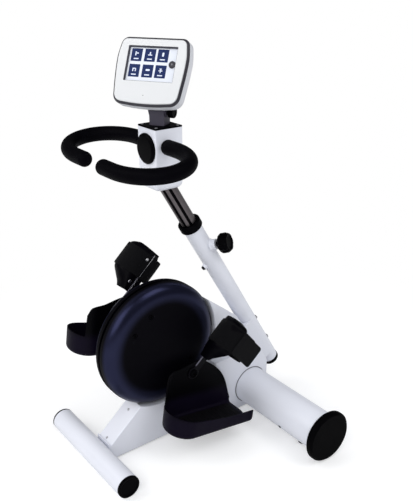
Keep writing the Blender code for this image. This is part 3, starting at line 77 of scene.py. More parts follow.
def eased(table, value):
    # smooth curve through a list of pairs
    if value <= table[0][0]:
        return table[0][1]
    if value >= table[-1][0]:
        return table[-1][1]
    slopes = []
    for i in range(len(table)):
        low, high = table[max(i - 1, 0)], table[min(i + 1, len(table) - 1)]
        slopes.append((high[1] - low[1]) / (high[0] - low[0]))
    for i in range(len(table) - 1):
        (x0, y0), (x1, y1) = table[i], table[i + 1]
        if value <= x1:
            span = x1 - x0
            t = (value - x0) / span
            return (y0 * (1 + 2 * t) * (1 - t) ** 2 + y1 * t * t * (3 - 2 * t)
                    + slopes[i] * span * t * (1 - t) ** 2 - slopes[i + 1] * span * t * t * (1 - t))


def softened(points, reach, steps=4, closed=True):
    # rounds the corners of a flat outline; reach is one number or one for each corner
    made = []
    count = len(points)
    for i, point in enumerate(points):
        size = reach[i] if isinstance(reach, (list, tuple)) else reach
        if size <= 0 or (not closed and i in (0, count - 1)):
            made.append(tuple(point))
            continue
        here = Vector(point)
        before = Vector(points[i - 1]) - here
        after = Vector(points[(i + 1) % count]) - here
        half = max(before.angle(after) / 2, 0.05)
        cut = min(size / math.tan(half), before.length * 0.48, after.length * 0.48)
        start = here + before.normalized() * cut
        end = here + after.normalized() * cut
        for k in range(steps + 1):
            t = k / steps
            made.append(tuple(start * (1 - t) ** 2 + here * 2 * t * (1 - t) + end * t * t))
    return made


def drawnIn(loop, distance):
    # moves a flat closed outline inwards
    clean = [Vector(p) for i, p in enumerate(loop) if (Vector(p) - Vector(loop[i - 1])).length > 1e-7]
    area = sum(a.x * b.y - b.x * a.y for a, b in zip(clean, clean[1:] + clean[:1]))
    made = []
    for i, here in enumerate(clean):
        first = (here - clean[i - 1]).normalized()
        second = (clean[(i + 1) % len(clean)] - here).normalized()
        normals = [Vector((-d.y, d.x)) * math.copysign(1, area) for d in (first, second)]
        middle = (normals[0] + normals[1]).normalized()
        made.append(tuple(here + middle * distance / max(middle.dot(normals[0]), 0.3)))
    return made


def shaped(work):
    bmesh.ops.remove_doubles(work, verts=work.verts, dist=0.000002)
    bmesh.ops.recalc_face_normals(work, faces=work.faces)
    mesh = bpy.data.meshes.new("shape")
    work.to_mesh(mesh)
    work.free()
    return mesh


def skin(rings, closed=True, ends=True):
    # quads between rings of points, with a face on each end
    work = bmesh.new()
    rows = [[work.verts.new(point) for point in ring] for ring in rings]
    for first, second in zip(rows, rows[1:]):
        count = len(first)
        for i in range(count if closed else count - 1):
            j = (i + 1) % count
            work.faces.new((first[i], first[j], second[j], second[i]))
    if ends:
        work.faces.new(rows[0])
        work.faces.new(list(reversed(rows[-1])))
    return shaped(work)


def turned(profile, steps=72):
    # a profile of (radius, height) about local Z; one that doesn't end on the axis becomes a ring
    rings = [[(u, v, height) for u, v in circle(radius, steps)] for radius, height in profile]
    if profile[0][0] > 1e-6:
        rings.append(rings[0])
    return skin(rings, ends=False)


def lathed(corners, steps=72, edge=0.0):
    # turns a profile of (radius, height, rounding of that corner)
    flat = [corner[:2] for corner in corners]
    reach = [corner[2] if len(corner) > 2 else edge for corner in corners]
    return turned(softened(flat, reach, closed=corners[0][0] > 0), steps)


def fluted(profile, steps, lobes, power, depthAt):
    # a turned knob whose surface is drawn in between its lobes
    rings = []
    for radius, height in profile:
        depth = depthAt(radius, height)
        ring = []
        for k in range(steps):
            wave = (0.5 - 0.5 * math.cos(math.radians(360 * k / steps * lobes))) ** power
            u, v = polar(1, 360 * k / steps)
            ring.append(((radius - depth * wave) * u, (radius - depth * wave) * v, height))
        rings.append(ring)
    return skin(rings, ends=False)


def looped(rings):
    return skin(rings + [rings[0]], ends=False)


def pin(radius, low, high, edge=0.0, steps=48):
    return lathed([(0, high), (radius, high, edge), (radius, low, edge), (0, low)], steps)


def slab(loop, low, high, edge=0.0, steps=3):
    # an outline from height low to height high, its edges rounded
    rings = []
    for end, sign in ((low, 1), (high, -1)):
        found = []
        for k in range(steps + 1 if edge else 1):
            angle = math.radians(90 * k / steps) if edge else 0
            inset = edge * (1 - math.sin(angle)) if edge else 0
            lift = edge * (1 - math.cos(angle)) if edge else 0
            found.append([(u, v, end + sign * lift) for u, v in drawnIn(loop, inset)])
        rings += found if sign == 1 else list(reversed(found))
    return skin(rings)


def block(size, centre=(0, 0, 0), edge=0.0, corner=0.0, steps=3):
    x, y = size[0] / 2, size[1] / 2
    loop = [(-x, -y), (x, -y), (x, y), (-x, y)]
    if corner:
        loop = softened(loop, corner, 5)
    made = slab(loop, -size[2] / 2, size[2] / 2, edge, steps)
    made.transform(at(*centre))
    return made


def swept(path, loop, closed=False):
    # carries a flat loop along a path without twisting it
    points = [Vector(p) for p in path]
    count = len(points)
    heading = []
    for i in range(count):
        before = points[i - 1] if closed or i else points[0]
        after = points[(i + 1) % count] if closed or i < count - 1 else points[-1]
        heading.append((after - before).normalized())
    up = heading[0].orthogonal().normalized()
    rings = []
    for i in range(count):
        up = (up - heading[i] * up.dot(heading[i])).normalized()
        side = heading[i].cross(up)
        rings.append([points[i] + side * u + up * v for u, v in loop])
    if closed:
        rings.append(rings[0])
    return skin(rings, ends=not closed)


def moved(mesh, place):
    copy = mesh.copy()
    copy.transform(place)
    if place.is_negative:
        copy.flip_normals()
    return copy


def gathered(*meshes):
    work = bmesh.new()
    for mesh in meshes:
        work.from_mesh(mesh)
    made = bpy.data.meshes.new("shape")
    work.to_mesh(made)
    work.free()
    return made


def worked(mesh, modifiers):
    # applies modifiers, each (kind, settings), to a mesh
    holder = bpy.data.objects.new("work", mesh)
    bpy.context.scene.collection.objects.link(holder)
    for kind, settings in modifiers:
        added = holder.modifiers.new("step", kind)
        for key, value in settings.items():
            setattr(added, key, value)
    bpy.context.view_layer.update()
    graph = bpy.context.evaluated_depsgraph_get()
    made = bpy.data.meshes.new_from_object(holder.evaluated_get(graph), depsgraph=graph)
    bpy.data.objects.remove(holder)
    return made


def carved(mesh, *cutters, operation="DIFFERENCE"):
    tools = []
    for cutter in cutters:
        tool = bpy.data.objects.new("tool", cutter)
        bpy.context.scene.collection.objects.link(tool)
        tools.append(tool)
    made = worked(mesh, [("BOOLEAN", {"object": tool, "operation": operation}) for tool in tools])
    for tool in tools:
        bpy.data.objects.remove(tool)
    return made


# Finishes
class Sock:
    # one socket of a node tree, so that shader maths reads as arithmetic
    def __init__(self, finish, socket):
        self.finish = finish
        self.socket = socket

    def maths(self, operation, *values):
        return self.finish.node("Math", {"operation": operation}, dict(enumerate(values)))

    def __add__(self, other): return self.maths("ADD", self, other)
    def __radd__(self, other): return self.maths("ADD", other, self)
    def __sub__(self, other): return self.maths("SUBTRACT", self, other)
    def __rsub__(self, other): return self.maths("SUBTRACT", other, self)
    def __mul__(self, other): return self.maths("MULTIPLY", self, other)
    def __rmul__(self, other): return self.maths("MULTIPLY", other, self)
    def __truediv__(self, other): return self.maths("DIVIDE", self, other)
    def __pow__(self, other): return self.maths("POWER", self, other)

    def sine(self): return self.maths("SINE", self)
    def clipped(self): return self.maths("MINIMUM", self.maths("MAXIMUM", self, 0.0), 1.0)


class Finish:
    def __init__(self, name):
        self.material = bpy.data.materials.new(name)
        self.material.use_nodes = True
        self.tree = self.material.node_tree
        self.shader = self.tree.nodes["Principled BSDF"]

    def node(self, kind, settings=None, values=None, out=0):
        made = self.tree.nodes.new("ShaderNode" + kind)
        for key, value in (settings or {}).items():
            if key == "stops":
                ramp = made.color_ramp
                for place, color in value:
                    ramp.elements.new(place).color = (*color, 1)
                for spare in list(ramp.elements)[:1] + list(ramp.elements)[-1:]:
                    if len(ramp.elements) > len(value):
                        ramp.elements.remove(spare)
            else:
                setattr(made, key, value)
        for key, value in (values or {}).items():
            self.feed(made.inputs[key], value)
        return Sock(self, made.outputs[out])

    def feed(self, entry, value):
        if isinstance(value, Sock):
            self.tree.links.new(value.socket, entry)
        elif isinstance(value, (tuple, list)) and len(value) == 3 and entry.type == "RGBA":
            entry.default_value = (*value, 1)
        else:
            entry.default_value = value

    def set(self, **values):
        for key, value in values.items():
            self.feed(self.shader.inputs[key.replace("_", " ")], value)
        return self

    def place(self, stretch=(1, 1, 1)):
        spot = self.node("TexCoord", None, None, out="Object")
        if stretch == (1, 1, 1):
            return spot
        return self.node("Mapping", None, {"Vector": spot, "Scale": stretch})

    def axis(self, letter):
        return self.node("SeparateXYZ", None, {"Vector": self.place()}, out=letter.upper())

    def grain(self, scale, detail=3.0, rough=0.55, stretch=(1, 1, 1)):
        return self.node("TexNoise", None, {"Vector": self.place(stretch), "Scale": scale,
                                            "Detail": detail, "Roughness": rough})

    def cells(self, scale, feature="F1", stretch=(1, 1, 1)):
        return self.node("TexVoronoi", {"feature": feature}, {"Vector": self.place(stretch), "Scale": scale})

    def mixed(self, share, first, second):
        return self.node("Mix", {"data_type": "RGBA"}, {0: share, 6: first, 7: second}, out=2)

    def bumped(self, height, strength, distance):
        return self.set(Normal=self.node("Bump", None, {"Strength": strength, "Distance": distance,
                                                        "Height": height}))


def spread(color, factor):
    return tuple(min(c * factor, 1.0) for c in color)


def makePaint(name, color, roughness, peel=0.10, coat=0.25):
    # powder coat: orange peel, slight tone drift, rubbed spots a little shinier
    paint = Finish(name)
    drift = paint.grain(7.0, 4.0)
    spots = paint.grain(240.0, 2.0)
    paint.set(Base_Color=paint.mixed(drift, spread(color, 0.95), spread(color, 1.03)))
    paint.set(Roughness=roughness - 0.06 + spots * 0.12)
    paint.set(Coat_Weight=coat, Coat_Roughness=0.22, Specular_IOR_Level=0.42)
    return paint.bumped(paint.grain(820.0, 2.0), peel, 0.0003)


def makeMoulding(name, color, roughness, sheen=0.0, level=0.35, grainScale=1500.0, depth=0.16):
    # fine spark-eroded grain of a moulded plastic, with faint handling marks
    plastic = Finish(name)
    drift = plastic.grain(14.0, 5.0)
    marks = plastic.grain(60.0, 6.0, 0.7)
    plastic.set(Base_Color=plastic.mixed(drift, spread(color, 0.82), spread(color, 1.2)))
    plastic.set(Roughness=roughness - 0.07 + marks * 0.14)
    plastic.set(Specular_IOR_Level=level, Sheen_Weight=sheen, Sheen_Roughness=0.4)
    return plastic.bumped(plastic.cells(grainScale), depth, 0.00012)


def makeMetal(name, color, roughness, stretch=(1, 1, 30), scale=120.0, depth=0.1):
    # drawn or plated metal, streaked along its length
    metal = Finish(name)
    streaks = metal.grain(scale, 4.0, 0.6, stretch)
    clouds = metal.grain(40.0, 4.0)
    metal.set(Metallic=1.0, Base_Color=metal.mixed(clouds, spread(color, 0.86), spread(color, 1.08)))
    metal.set(Roughness=roughness - 0.08 + streaks * 0.16)
    return metal.bumped(streaks, depth, 0.0001)


def makeDrum():
    # satin moulded shell: a matt face, and a shoulder polished to a lavender sheen
    drum = Finish("drumShell")
    across = drum.node("VectorMath", {"operation": "MULTIPLY"}, {0: drum.place(), 1: (0.0, 1.0, 1.0)})
    radius = drum.node("VectorMath", {"operation": "LENGTH"}, {0: across}, out="Value")
    drift = drum.grain(5.0, 4.0)
    scuffs = drum.grain(90.0, 6.0, 0.72)
    polish = ((radius - 0.122) / 0.034).clipped()
    side = drum.axis("x")
    polish = polish * polish * (3.0 - 2.0 * polish) * ((side * side - 0.00016) * 2500.0).clipped()
    face = drum.mixed(drift, (0.0006, 0.0005, 0.0014), (0.0012, 0.0009, 0.0028))
    sheen = drum.mixed(drift, (0.020, 0.022, 0.050), (0.028, 0.030, 0.066))
    drum.set(Base_Color=drum.mixed(polish, face, sheen), Metallic=polish * 0.9)
    drum.set(Roughness=0.50 - polish * 0.24 + scuffs * 0.06, Specular_IOR_Level=0.05)
    return drum.bumped(drum.grain(1300.0, 2.0), 0.06, 0.0001)


def makeFoam():
    # closed-cell foam grip: pores in a dull skin
    foam = Finish("foamGrip")
    pores = foam.cells(950.0)
    drift = foam.grain(30.0, 4.0)
    foam.set(Base_Color=foam.mixed(drift, (0.0006, 0.0005, 0.0012), (0.0016, 0.0013, 0.0030)))
    foam.set(Roughness=0.46 + pores * 0.2, Specular_IOR_Level=0.03)
    return foam.bumped(pores + foam.grain(260.0, 3.0) * 0.8, 0.35, 0.0004)


def makeWebbing():
    # woven strap: ribs across the band with threads along it
    cloth = Finish("strapWebbing")
    across = (cloth.axis("y") * 3600.0).sine()
    along = ((cloth.axis("x") + cloth.axis("z")) * 2600.0).sine()
    weave = across * along
    fuzz = cloth.grain(900.0, 4.0, 0.7)
    share = (weave * 0.25 + fuzz * 0.9).clipped()
    cloth.set(Base_Color=cloth.mixed(share, (0.0006, 0.0006, 0.0012), (0.0024, 0.0022, 0.0036)))
    cloth.set(Roughness=0.78 + fuzz * 0.14, Specular_IOR_Level=0.12, Sheen_Weight=0.03, Sheen_Roughness=0.5)
    return cloth.bumped(weave + fuzz * 0.6, 0.5, 0.0003)


def makeRubber(name, color, roughness, level=0.25):
    rubber = Finish(name)
    dust = rubber.grain(38.0, 6.0, 0.7)
    rubber.set(Base_Color=rubber.mixed(dust, spread(color, 0.75), spread(color, 1.5)))
    rubber.set(Roughness=roughness - 0.08 + dust * 0.16, Specular_IOR_Level=level)
    return rubber.bumped(rubber.grain(700.0, 3.0), 0.2, 0.0002)


def makeShell():
    # moulded foot shell: nearly black, with a painted sheen that tints the lower band violet
    hull = Finish("shellMoulding")
    drift = hull.grain(14.0, 5.0)
    marks = hull.grain(60.0, 6.0, 0.7)
    # painted sheen: below a set height the shell turns violet and lighter than the guard wall above
    band = ((-0.058 - hull.axis("z")) * 45.0).clipped()
    sheenTone = hull.mixed(band, (0.0008, 0.0007, 0.0016), (0.0052, 0.0034, 0.0110))
    hull.set(Base_Color=hull.mixed(drift, sheenTone, hull.mixed(0.25, sheenTone, (0.0, 0.0, 0.0))))
    hull.set(Roughness=0.36 + marks * 0.14, Specular_IOR_Level=0.05)
    return hull.bumped(hull.cells(1500.0), 0.12, 0.00012)


def makeArm():
    # painted bar, with a painted highlight along its upper edge
    arm = Finish("armPaint")
    marks = arm.grain(60.0, 6.0, 0.7)
    # painted highlight: the upper edge, past the eye, is coloured a light lavender-grey
    edge = ((arm.axis("z") - 0.0084) * 900.0).clipped() * ((arm.axis("y") - 0.018) * 200.0).clipped()
    share = (edge * (0.45 + marks * 0.7)).clipped()
    arm.set(Base_Color=arm.mixed(share, (0.0022, 0.0019, 0.0036), (0.24, 0.23, 0.29)))
    arm.set(Roughness=0.30 + marks * 0.14, Specular_IOR_Level=0.10)
    return arm.bumped(arm.cells(1500.0), 0.12, 0.00012)


def makePost():
    # anodised extrusion, drawn along its length, darker in its slots
    post = Finish("postAluminium")
    streaks = post.grain(90.0, 5.0, 0.65, (14, 14, 0.5))
    clouds = post.grain(18.0, 4.0)
    post.set(Metallic=0.85, Base_Color=post.mixed(clouds, (0.125, 0.110, 0.115), (0.190, 0.170, 0.175)))
    post.set(Roughness=0.28 + streaks * 0.22)
    return post.bumped(streaks, 0.25, 0.0001)


def makePanel():
    # lit display: near white, faintly clouded
    panel = Finish("displayPanel")
    cloud = panel.grain(24.0, 2.0)
    color = panel.mixed(cloud, (0.66, 0.69, 0.76), (0.73, 0.76, 0.82))
    panel.set(Base_Color=color, Roughness=0.16 + cloud * 0.08, Specular_IOR_Level=0.4)
    panel.set(Emission_Color=color, Emission_Strength=0.10)
    return panel


def makeTile():
    tile = Finish("displayTile")
    cloud = tile.grain(70.0, 3.0)
    color = tile.mixed(cloud, (0.008, 0.018, 0.078), (0.013, 0.029, 0.110))
    tile.set(Base_Color=color, Roughness=0.30 + cloud * 0.1, Specular_IOR_Level=0.12)
    tile.set(Emission_Color=color, Emission_Strength=0.10)
    return tile


def makeBoard():
    board = Finish("circuitBoard")
    traces = board.cells(420.0, "DISTANCE_TO_EDGE", (1, 1, 0.4))
    lines = (traces * 9.0).clipped()
    board.set(Base_Color=board.mixed(lines, (0.06, 0.20, 0.09), (0.012, 0.085, 0.035)))
    board.set(Roughness=0.34 + lines * 0.15)
    return board.bumped(lines, 0.2, 0.0001)


finishes = {
    "white": makePaint("whitePowder", (0.775, 0.79, 0.86), 0.36),
    "black": makeMoulding("blackMoulding", (0.0007, 0.0006, 0.0012), 0.42, level=0.03),
    "shell": makeShell(),
    "cuff": makeMoulding("cuffMoulding", (0.0009, 0.0007, 0.0020), 0.42, level=0.05),
    "armPaint": makeArm(),
    "drum": makeDrum(),
    "rubber": makeRubber("wheelRubber", (0.0007, 0.0006, 0.0010), 0.60, 0.03),
    "mat": makeRubber("soleMat", (0.0026, 0.0023, 0.0036), 0.74, 0.10),
    "foam": makeFoam(),
    "webbing": makeWebbing(),
    "grey": makeMoulding("greyMoulding", (0.058, 0.052, 0.074), 0.44, level=0.3),
    "console": makePaint("consoleWhite", (0.70, 0.71, 0.72), 0.34, 0.04, 0.2),
    "caseBack": makePaint("consoleBack", (0.70, 0.71, 0.75), 0.42, 0.06, 0.1),
    "gasket": makeMoulding("gasketMoulding", (0.030, 0.028, 0.038), 0.42, level=0.45),
    "panel": makePanel(),
    "tile": makeTile(),
    "glyph": makePaint("displayGlyph", (0.72, 0.78, 0.92), 0.3, 0.02, 0.3),
    "frameDark": makeMoulding("displayShadowBorder", (0.020, 0.020, 0.034), 0.35),
    "steel": makeMetal("platedSteel", (0.56, 0.56, 0.58), 0.30, (1, 1, 1), 300.0),
    "darkSteel": makeMetal("blackenedSteel", (0.10, 0.10, 0.12), 0.38, (1, 1, 1), 300.0),
    "post": makePost(),
    "inner": makeMetal("machinedAluminium", (0.60, 0.59, 0.58), 0.34, (6, 1, 1), 150.0),
    "inlet": makeMoulding("inletMoulding", (0.014, 0.014, 0.016), 0.45),
    "board": makeBoard(),
    "belt": makeRubber("beltRubber", (0.011, 0.011, 0.012), 0.7),
    "seam": makeMoulding("seamGrey", (0.16, 0.16, 0.18), 0.5),
}
print("finishes made:", len(finishes))


def piece(name, mesh, finish, body, place=Matrix(), stands=(), crease=34):
    mesh.name = name
    obj = bpy.data.objects.new(name, mesh)
    bpy.context.scene.collection.objects.link(obj)
    obj.matrix_world = place
    mesh.materials.clear()
    mesh.materials.append(finishes[finish].material)
    mesh.shade_smooth()
    mesh.set_sharp_from_angle(angle=math.radians(crease))
    weighted = obj.modifiers.new("flatFaces", "WEIGHTED_NORMAL")
    weighted.keep_sharp = True
    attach(obj, body)
    if stands:
        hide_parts(*stands)
    return obj


# Camera, light and floor
cameraPlace = {"right": (0.6056, 0.7958, -0.0036), "up": (-0.302, 0.234, 0.9242),
               "back": (0.7362, -0.5586, 0.382), "spot": (1.4397, -1.0209, 1.2686), "lens": 50.86}


def makeCamera():
    data = bpy.data.cameras.new("camera")
    data.lens = cameraPlace["lens"]
    data.sensor_width = 36.0
    data.clip_start = 0.05
    data.clip_end = 200.0
    columns = [Vector(cameraPlace[key]) for key in ("right", "up", "back", "spot")]
    turn = Matrix([[column[row] for column in columns] for row in range(3)] + [[0, 0, 0, 1]])
    camera = bpy.data.objects.new("camera", data)
    bpy.context.scene.collection.objects.link(camera)
    camera.matrix_world = turn
    bpy.context.scene.camera = camera


studio = {"ambient": 0.64, "glossy": 0.13, "sky": (0.97, 0.98, 1.0, 1), "aim": (0, 0, 0.42),
          "lamps": (("keyLamp", (-1.7, -3.1, 3.3), 2.4, 56.0, (1.0, 0.995, 0.985)),
                    ("fillLamp", (2.0, -2.9, 2.6), 3.0, 58.0, (0.97, 0.98, 1.0)),
                    ("rimLamp", (2.3, 1.1, 3.4), 2.0, 30.0, (0.98, 0.99, 1.0))),
          "floorColor": 0.80, "floorLift": 0.33, "floorMiddle": (0.10, 0.05, 0.0), "floorNear": 0.55,
          "floorFade": 0.75, "floorReach": 90.0, "floorTop": -0.0002, "floorUnder": -0.02}


def areaLamp(name, spot, size, power, color):
    data = bpy.data.lights.new(name, "AREA")
    data.shape = "SQUARE"
    data.size = size
    data.energy = power
    data.color = color
    lamp = bpy.data.objects.new(name, data)
    bpy.context.scene.collection.objects.link(lamp)
    aim = Vector(studio["aim"]) - Vector(spot)
    lamp.matrix_world = at(*spot) @ aim.to_track_quat("-Z", "Y").to_matrix().to_4x4()


def makeStudio():
    for lamp in studio["lamps"]:
        areaLamp(*lamp)
    world = bpy.data.worlds.new("studio")
    bpy.context.scene.world = world
    world.use_nodes = True
    nodes, link = world.node_tree.nodes, world.node_tree.links.new
    nodes.clear()
    path, seen, level = [nodes.new("ShaderNode" + kind) for kind in ("LightPath", "Math", "Math")]
    seen.operation = "ADD"
    seen.use_clamp = True
    link(path.outputs["Is Camera Ray"], seen.inputs[0])
    link(path.outputs["Is Transmission Ray"], seen.inputs[1])
    level.operation = "MULTIPLY_ADD"
    level.inputs[1].default_value = studio["glossy"] - studio["ambient"]
    level.inputs[2].default_value = studio["ambient"]
    link(path.outputs["Is Glossy Ray"], level.inputs[0])
    white, dim = nodes.new("ShaderNodeBackground"), nodes.new("ShaderNodeBackground")
    white.inputs["Color"].default_value = (1, 1, 1, 1)
    dim.inputs["Color"].default_value = studio["sky"]
    link(level.outputs[0], dim.inputs["Strength"])
    mix = nodes.new("ShaderNodeMixShader")
    for entry, source in enumerate((seen, dim, white)):
        link(source.outputs[0], mix.inputs[entry])
    link(mix.outputs[0], nodes.new("ShaderNodeOutputWorld").inputs["Surface"])
    bpy.context.scene.view_settings.view_transform = "Standard"


def makeFloor():
    # pale floor that keeps the soft shadow near the object and runs out into plain white further off
    ground = Finish("paleFloor")
    level = studio["floorColor"]
    cloud = ground.grain(3.0, 3.0)
    ground.set(Base_Color=ground.mixed(cloud, (level - 0.01,) * 3, (level + 0.01,) * 3))
    ground.set(Roughness=0.9, Specular_IOR_Level=0.05)
    paths = [ground.node("LightPath", None, None, out="Is %s Ray" % kind)
             for kind in ("Camera", "Transmission")]
    seen = (paths[0] + paths[1]).clipped()
    offset = ground.node("VectorMath", {"operation": "SUBTRACT"}, {0: ground.place(), 1: studio["floorMiddle"]})
    distance = ground.node("VectorMath", {"operation": "LENGTH"}, {0: offset}, out="Value")
    away = ((distance - studio["floorNear"]) / studio["floorFade"]).clipped()
    away = away * away * (3.0 - 2.0 * away)
    white, lift = [ground.node("Emission", None, {"Color": (1.0, 1.0, 1.0), "Strength": strength})
                   for strength in (1.0, studio["floorLift"])]
    plain = Sock(ground, ground.shader.outputs[0])
    lit = ground.node("AddShader", None, {0: plain, 1: lift})
    near = ground.node("MixShader", None, {0: seen, 1: plain, 2: lit})
    whole = ground.node("MixShader", None, {0: away * seen, 1: near, 2: white})
    ground.feed(ground.tree.nodes["Material Output"].inputs["Surface"], whole)
    reach = studio["floorReach"]
    edge = [(-reach, -reach), (reach, -reach), (reach, reach), (-reach, reach)]
    mesh = skin([[(x, y, z) for x, y in edge] for z in (studio["floorTop"], studio["floorUnder"])])
    floor = bpy.data.objects.new("floor", mesh)
    bpy.context.scene.collection.objects.link(floor)
    mesh.materials.append(ground.material)


makeCamera()
makeStudio()
makeFloor()
print("studio set")


# Front foot: tube and plug caps
frontFoot = {"radius": 0.0312, "wall": 0.0025, "half": 0.1838, "y": -0.3164, "lip": 0.0055, "depth": 0.020,
             "dish": 0.0012, "plugWall": 0.003, "plugFace": 0.002}


def makeFrontFoot():
    radius, half = frontFoot["radius"], frontFoot["half"]
    place = at(0, frontFoot["y"], radius)
    lip, dish = half - frontFoot["lip"], half - frontFoot["dish"]
    end, inner = lip - airGap, radius - frontFoot["wall"]
    tube = lathed([(radius, end, 0.0006), (radius, -end, 0.0006), (inner, -end, 0.0003),
                   (inner, end, 0.0003)], 96)
    piece("frontTube", tube, "white", "frame", place @ outwards(1), ["front_foot_tube"])
    bore, back, face = inner - airGap, half - frontFoot["depth"], lip - frontFoot["plugFace"]
    hollow = bore - frontFoot["plugWall"]
    plug = lathed([(0, dish), (radius * 0.74, dish, 0.001), (radius * 0.80, half, 0.001),
                   (radius, half, 0.0016), (radius, lip, 0.0003), (bore, lip, 0.0003), (bore, back, 0.001),
                   (hollow, back, 0.0003), (hollow, face, 0.001), (0, face)], 96)
    for name, node, side in sides:
        piece("frontCap" + name, plug.copy(), "black", "frame", place @ outwards(side),
              ["front_foot_cap_" + node])


makeFrontFoot()
print("front foot made")


# Base: cover round the drum and housing over the rear tube
cover = {"halfWidth": 0.0325, "wall": 0.003, "edge": 0.0025, "floor": 0.003, "front": -0.2818,
         "nose": 0.047, "slope": 40.4, "drumY": -0.104, "drumZ": 0.2965, "drumRadius": 0.1808,
         "backHeight": 0.304, "backSlope": 38.3, "standoff": 0.0345, "columnLean": 30.54,
         "columnFootZ": 0.0869, "beamBottom": 0.017, "beamHeight": 0.030, "beamWidth": 0.040,
         "webThickness": 0.005, "webFront": -0.165, "webBack": 0.040, "screws": (0.0107, 0.105)}
housing = {"halfWidth": 0.0575, "front": 0.0588, "back": 0.259, "top": 0.192, "tubeY": 0.1916,
           "tubeZ": 0.0722, "tubeRadius": 0.0553, "inletY": 0.092, "inletZ": 0.160,
           "inletHole": (0.012, 0.0276, 0.0206), "seam": (0.0003, 0.0026)}
plumb = math.radians(30.54)
columnFootY = 0.3476 - 0.0261 * math.cos(plumb) + 0.0015 * math.sin(plumb)


def crossing(point, direction, other, otherDirection):
    cross = direction[0] * otherDirection[1] - direction[1] * otherDirection[0]
    along = ((other[0] - point[0]) * otherDirection[1]
             - (other[1] - point[1]) * otherDirection[0]) / cross
    return point[0] + along * direction[0], point[1] + along * direction[1]


def onDrum(point, direction, radius):
    # where a line first meets the circle round the drum
    u, v = point[0] - cover["drumY"], point[1] - cover["drumZ"]
    half = u * direction[0] + v * direction[1]
    along = -half - math.sqrt(half ** 2 - (u * u + v * v - radius ** 2))
    return point[0] + along * direction[0], point[1] + along * direction[1]


def columnLine(inset):
    lean = math.radians(cover["columnLean"])
    direction = (-math.sin(lean), math.cos(lean))
    distance = cover["standoff"] + inset
    return (columnFootY - distance * direction[1], cover["columnFootZ"] + distance * direction[0]), direction


def backAt(height, inset):
    point, direction = columnLine(inset)
    return crossing(point, direction, (0, height), (1, 0))


def coverLoop(inset, bottom):
    radius = cover["drumRadius"] + inset
    rise = polar(1, cover["slope"])
    nose = (cover["front"] + inset * rise[1], cover["nose"] - inset * rise[0])
    noseTop = crossing(nose, rise, (cover["front"] + inset, 0), (0, 1))
    first = onDrum(nose, rise, radius)
    fall = polar(1, 180 - cover["backSlope"])
    shoulder = backAt(cover["backHeight"], 0)
    lowered = (shoulder[0] - inset * fall[1], shoulder[1] + inset * fall[0])
    point, direction = columnLine(inset)
    backTop = crossing(lowered, fall, point, direction)
    last = onDrum(lowered, fall, radius)
    start, end = [math.degrees(math.atan2(p[1] - cover["drumZ"], p[0] - cover["drumY"])) for p in (first, last)]
    shelf = housing["top"] + airGap + inset
    wall = housing["front"] - airGap - inset
    return ([(cover["front"] + inset, bottom), noseTop]
            + bow((cover["drumY"], cover["drumZ"]), radius, start, end, 40)
            + [backTop, backAt(shelf, inset), (wall, shelf), (wall, bottom)])


def housingLoop(inset, bottom):
    top = housing["top"] - inset
    back = housing["back"] - inset
    point, direction = columnLine(inset)
    corner = crossing(point, direction, (back, 0), (0, 1))
    return [(housing["front"] + inset, bottom), (housing["front"] + inset, top), backAt(top, inset), corner,
            (back, bottom)]


def makeBase():
    wall = cover["wall"]

    def hull(loopOf, half, *cutters):
        # thin-walled body that is open underneath
        outer = moved(slab(loopOf(0, cover["floor"]), -half, half, cover["edge"]), sideView)
        hollow = moved(slab(loopOf(wall, -wall), wall - half, half - wall), sideView)
        return carved(outer, hollow, *cutters)

    beamMiddle = cover["beamBottom"] + cover["beamHeight"] / 2
    doorway = block((cover["beamWidth"] + 2 * airGap, 0.6, cover["beamHeight"] + 2 * airGap),
                    (0, -0.06, beamMiddle))
    front, back, top = cover["webFront"], cover["webBack"], cover["drumZ"]
    low = cover["beamBottom"] + cover["beamHeight"] + wall
    slot = block((cover["webThickness"] + 4 * airGap, back - front + 4 * airGap, top - low),
                 (0, (front + back) / 2, (top + low) / 2))
    piece("drumCover", hull(coverLoop, cover["halfWidth"], doorway, slot), "white", "frame",
          stands=["front_cover"])

    half, radius = housing["halfWidth"], housing["tubeRadius"]
    tubeMiddle = at(0, housing["tubeY"], housing["tubeZ"])
    cope = moved(pin(radius + airGap, -0.12, 0.12, 0, 96), tubeMiddle @ outwards(1))
    inlet = block(housing["inletHole"], (-half, housing["inletY"], housing["inletZ"]))
    piece("rearHousing", hull(housingLoop, half, cope, doorway, inlet), "white", "frame",
          stands=["rear_housing"])

    # soft seam ring where the tube leaves the housing on each side
    inner, outer = [radius + reach for reach in housing["seam"]]
    ring = lathed([(outer, half + 0.0011), (outer, half + 0.0003), (inner, half + 0.0003),
                   (inner, half + 0.0016)], 96, 0.0004)
    for name, _, side in sides:
        piece("tubeSeam" + name, ring.copy(), "seam", "frame", tubeMiddle @ outwards(side))

    # two screws on the nose slope
    rise = polar(1, cover["slope"])
    heads = []
    for along in cover["screws"]:
        spot = at(0, cover["front"] + along * rise[0], cover["nose"] + along * rise[1])
        heads.append(moved(screwHead(0.0036, 0.0012), spot @ spin(cover["slope"], "X") @ at(0, 0, 0.0001)))
    piece("noseScrews", gathered(*heads), "steel", "frame")


def screwHead(radius, height, socket=0.45):
    # domed head with a hexagon socket
    dome = lathed([(0, height), (radius * 0.6, height, radius * 0.3), (radius, height * 0.35, radius * 0.2),
                   (radius, 0), (0, 0)], 32)
    return carved(dome, slab(circle(radius * socket, 6), height * 0.35, height + 0.01))


makeBase()
print("base made")


# Rear foot: tube, wheels, rubber feet
rearFoot = {"radius": 0.0553, "wall": 0.003, "y": 0.1916, "wheelRadius": 0.0722, "outside": 0.3892,
            "inside": 0.3662, "axleRadius": 0.008, "axleReach": 0.016, "footX": 0.289, "footRadius": 0.0125,
            "footNeck": 0.0095, "screwX": 0.245, "screwTurn": 208}


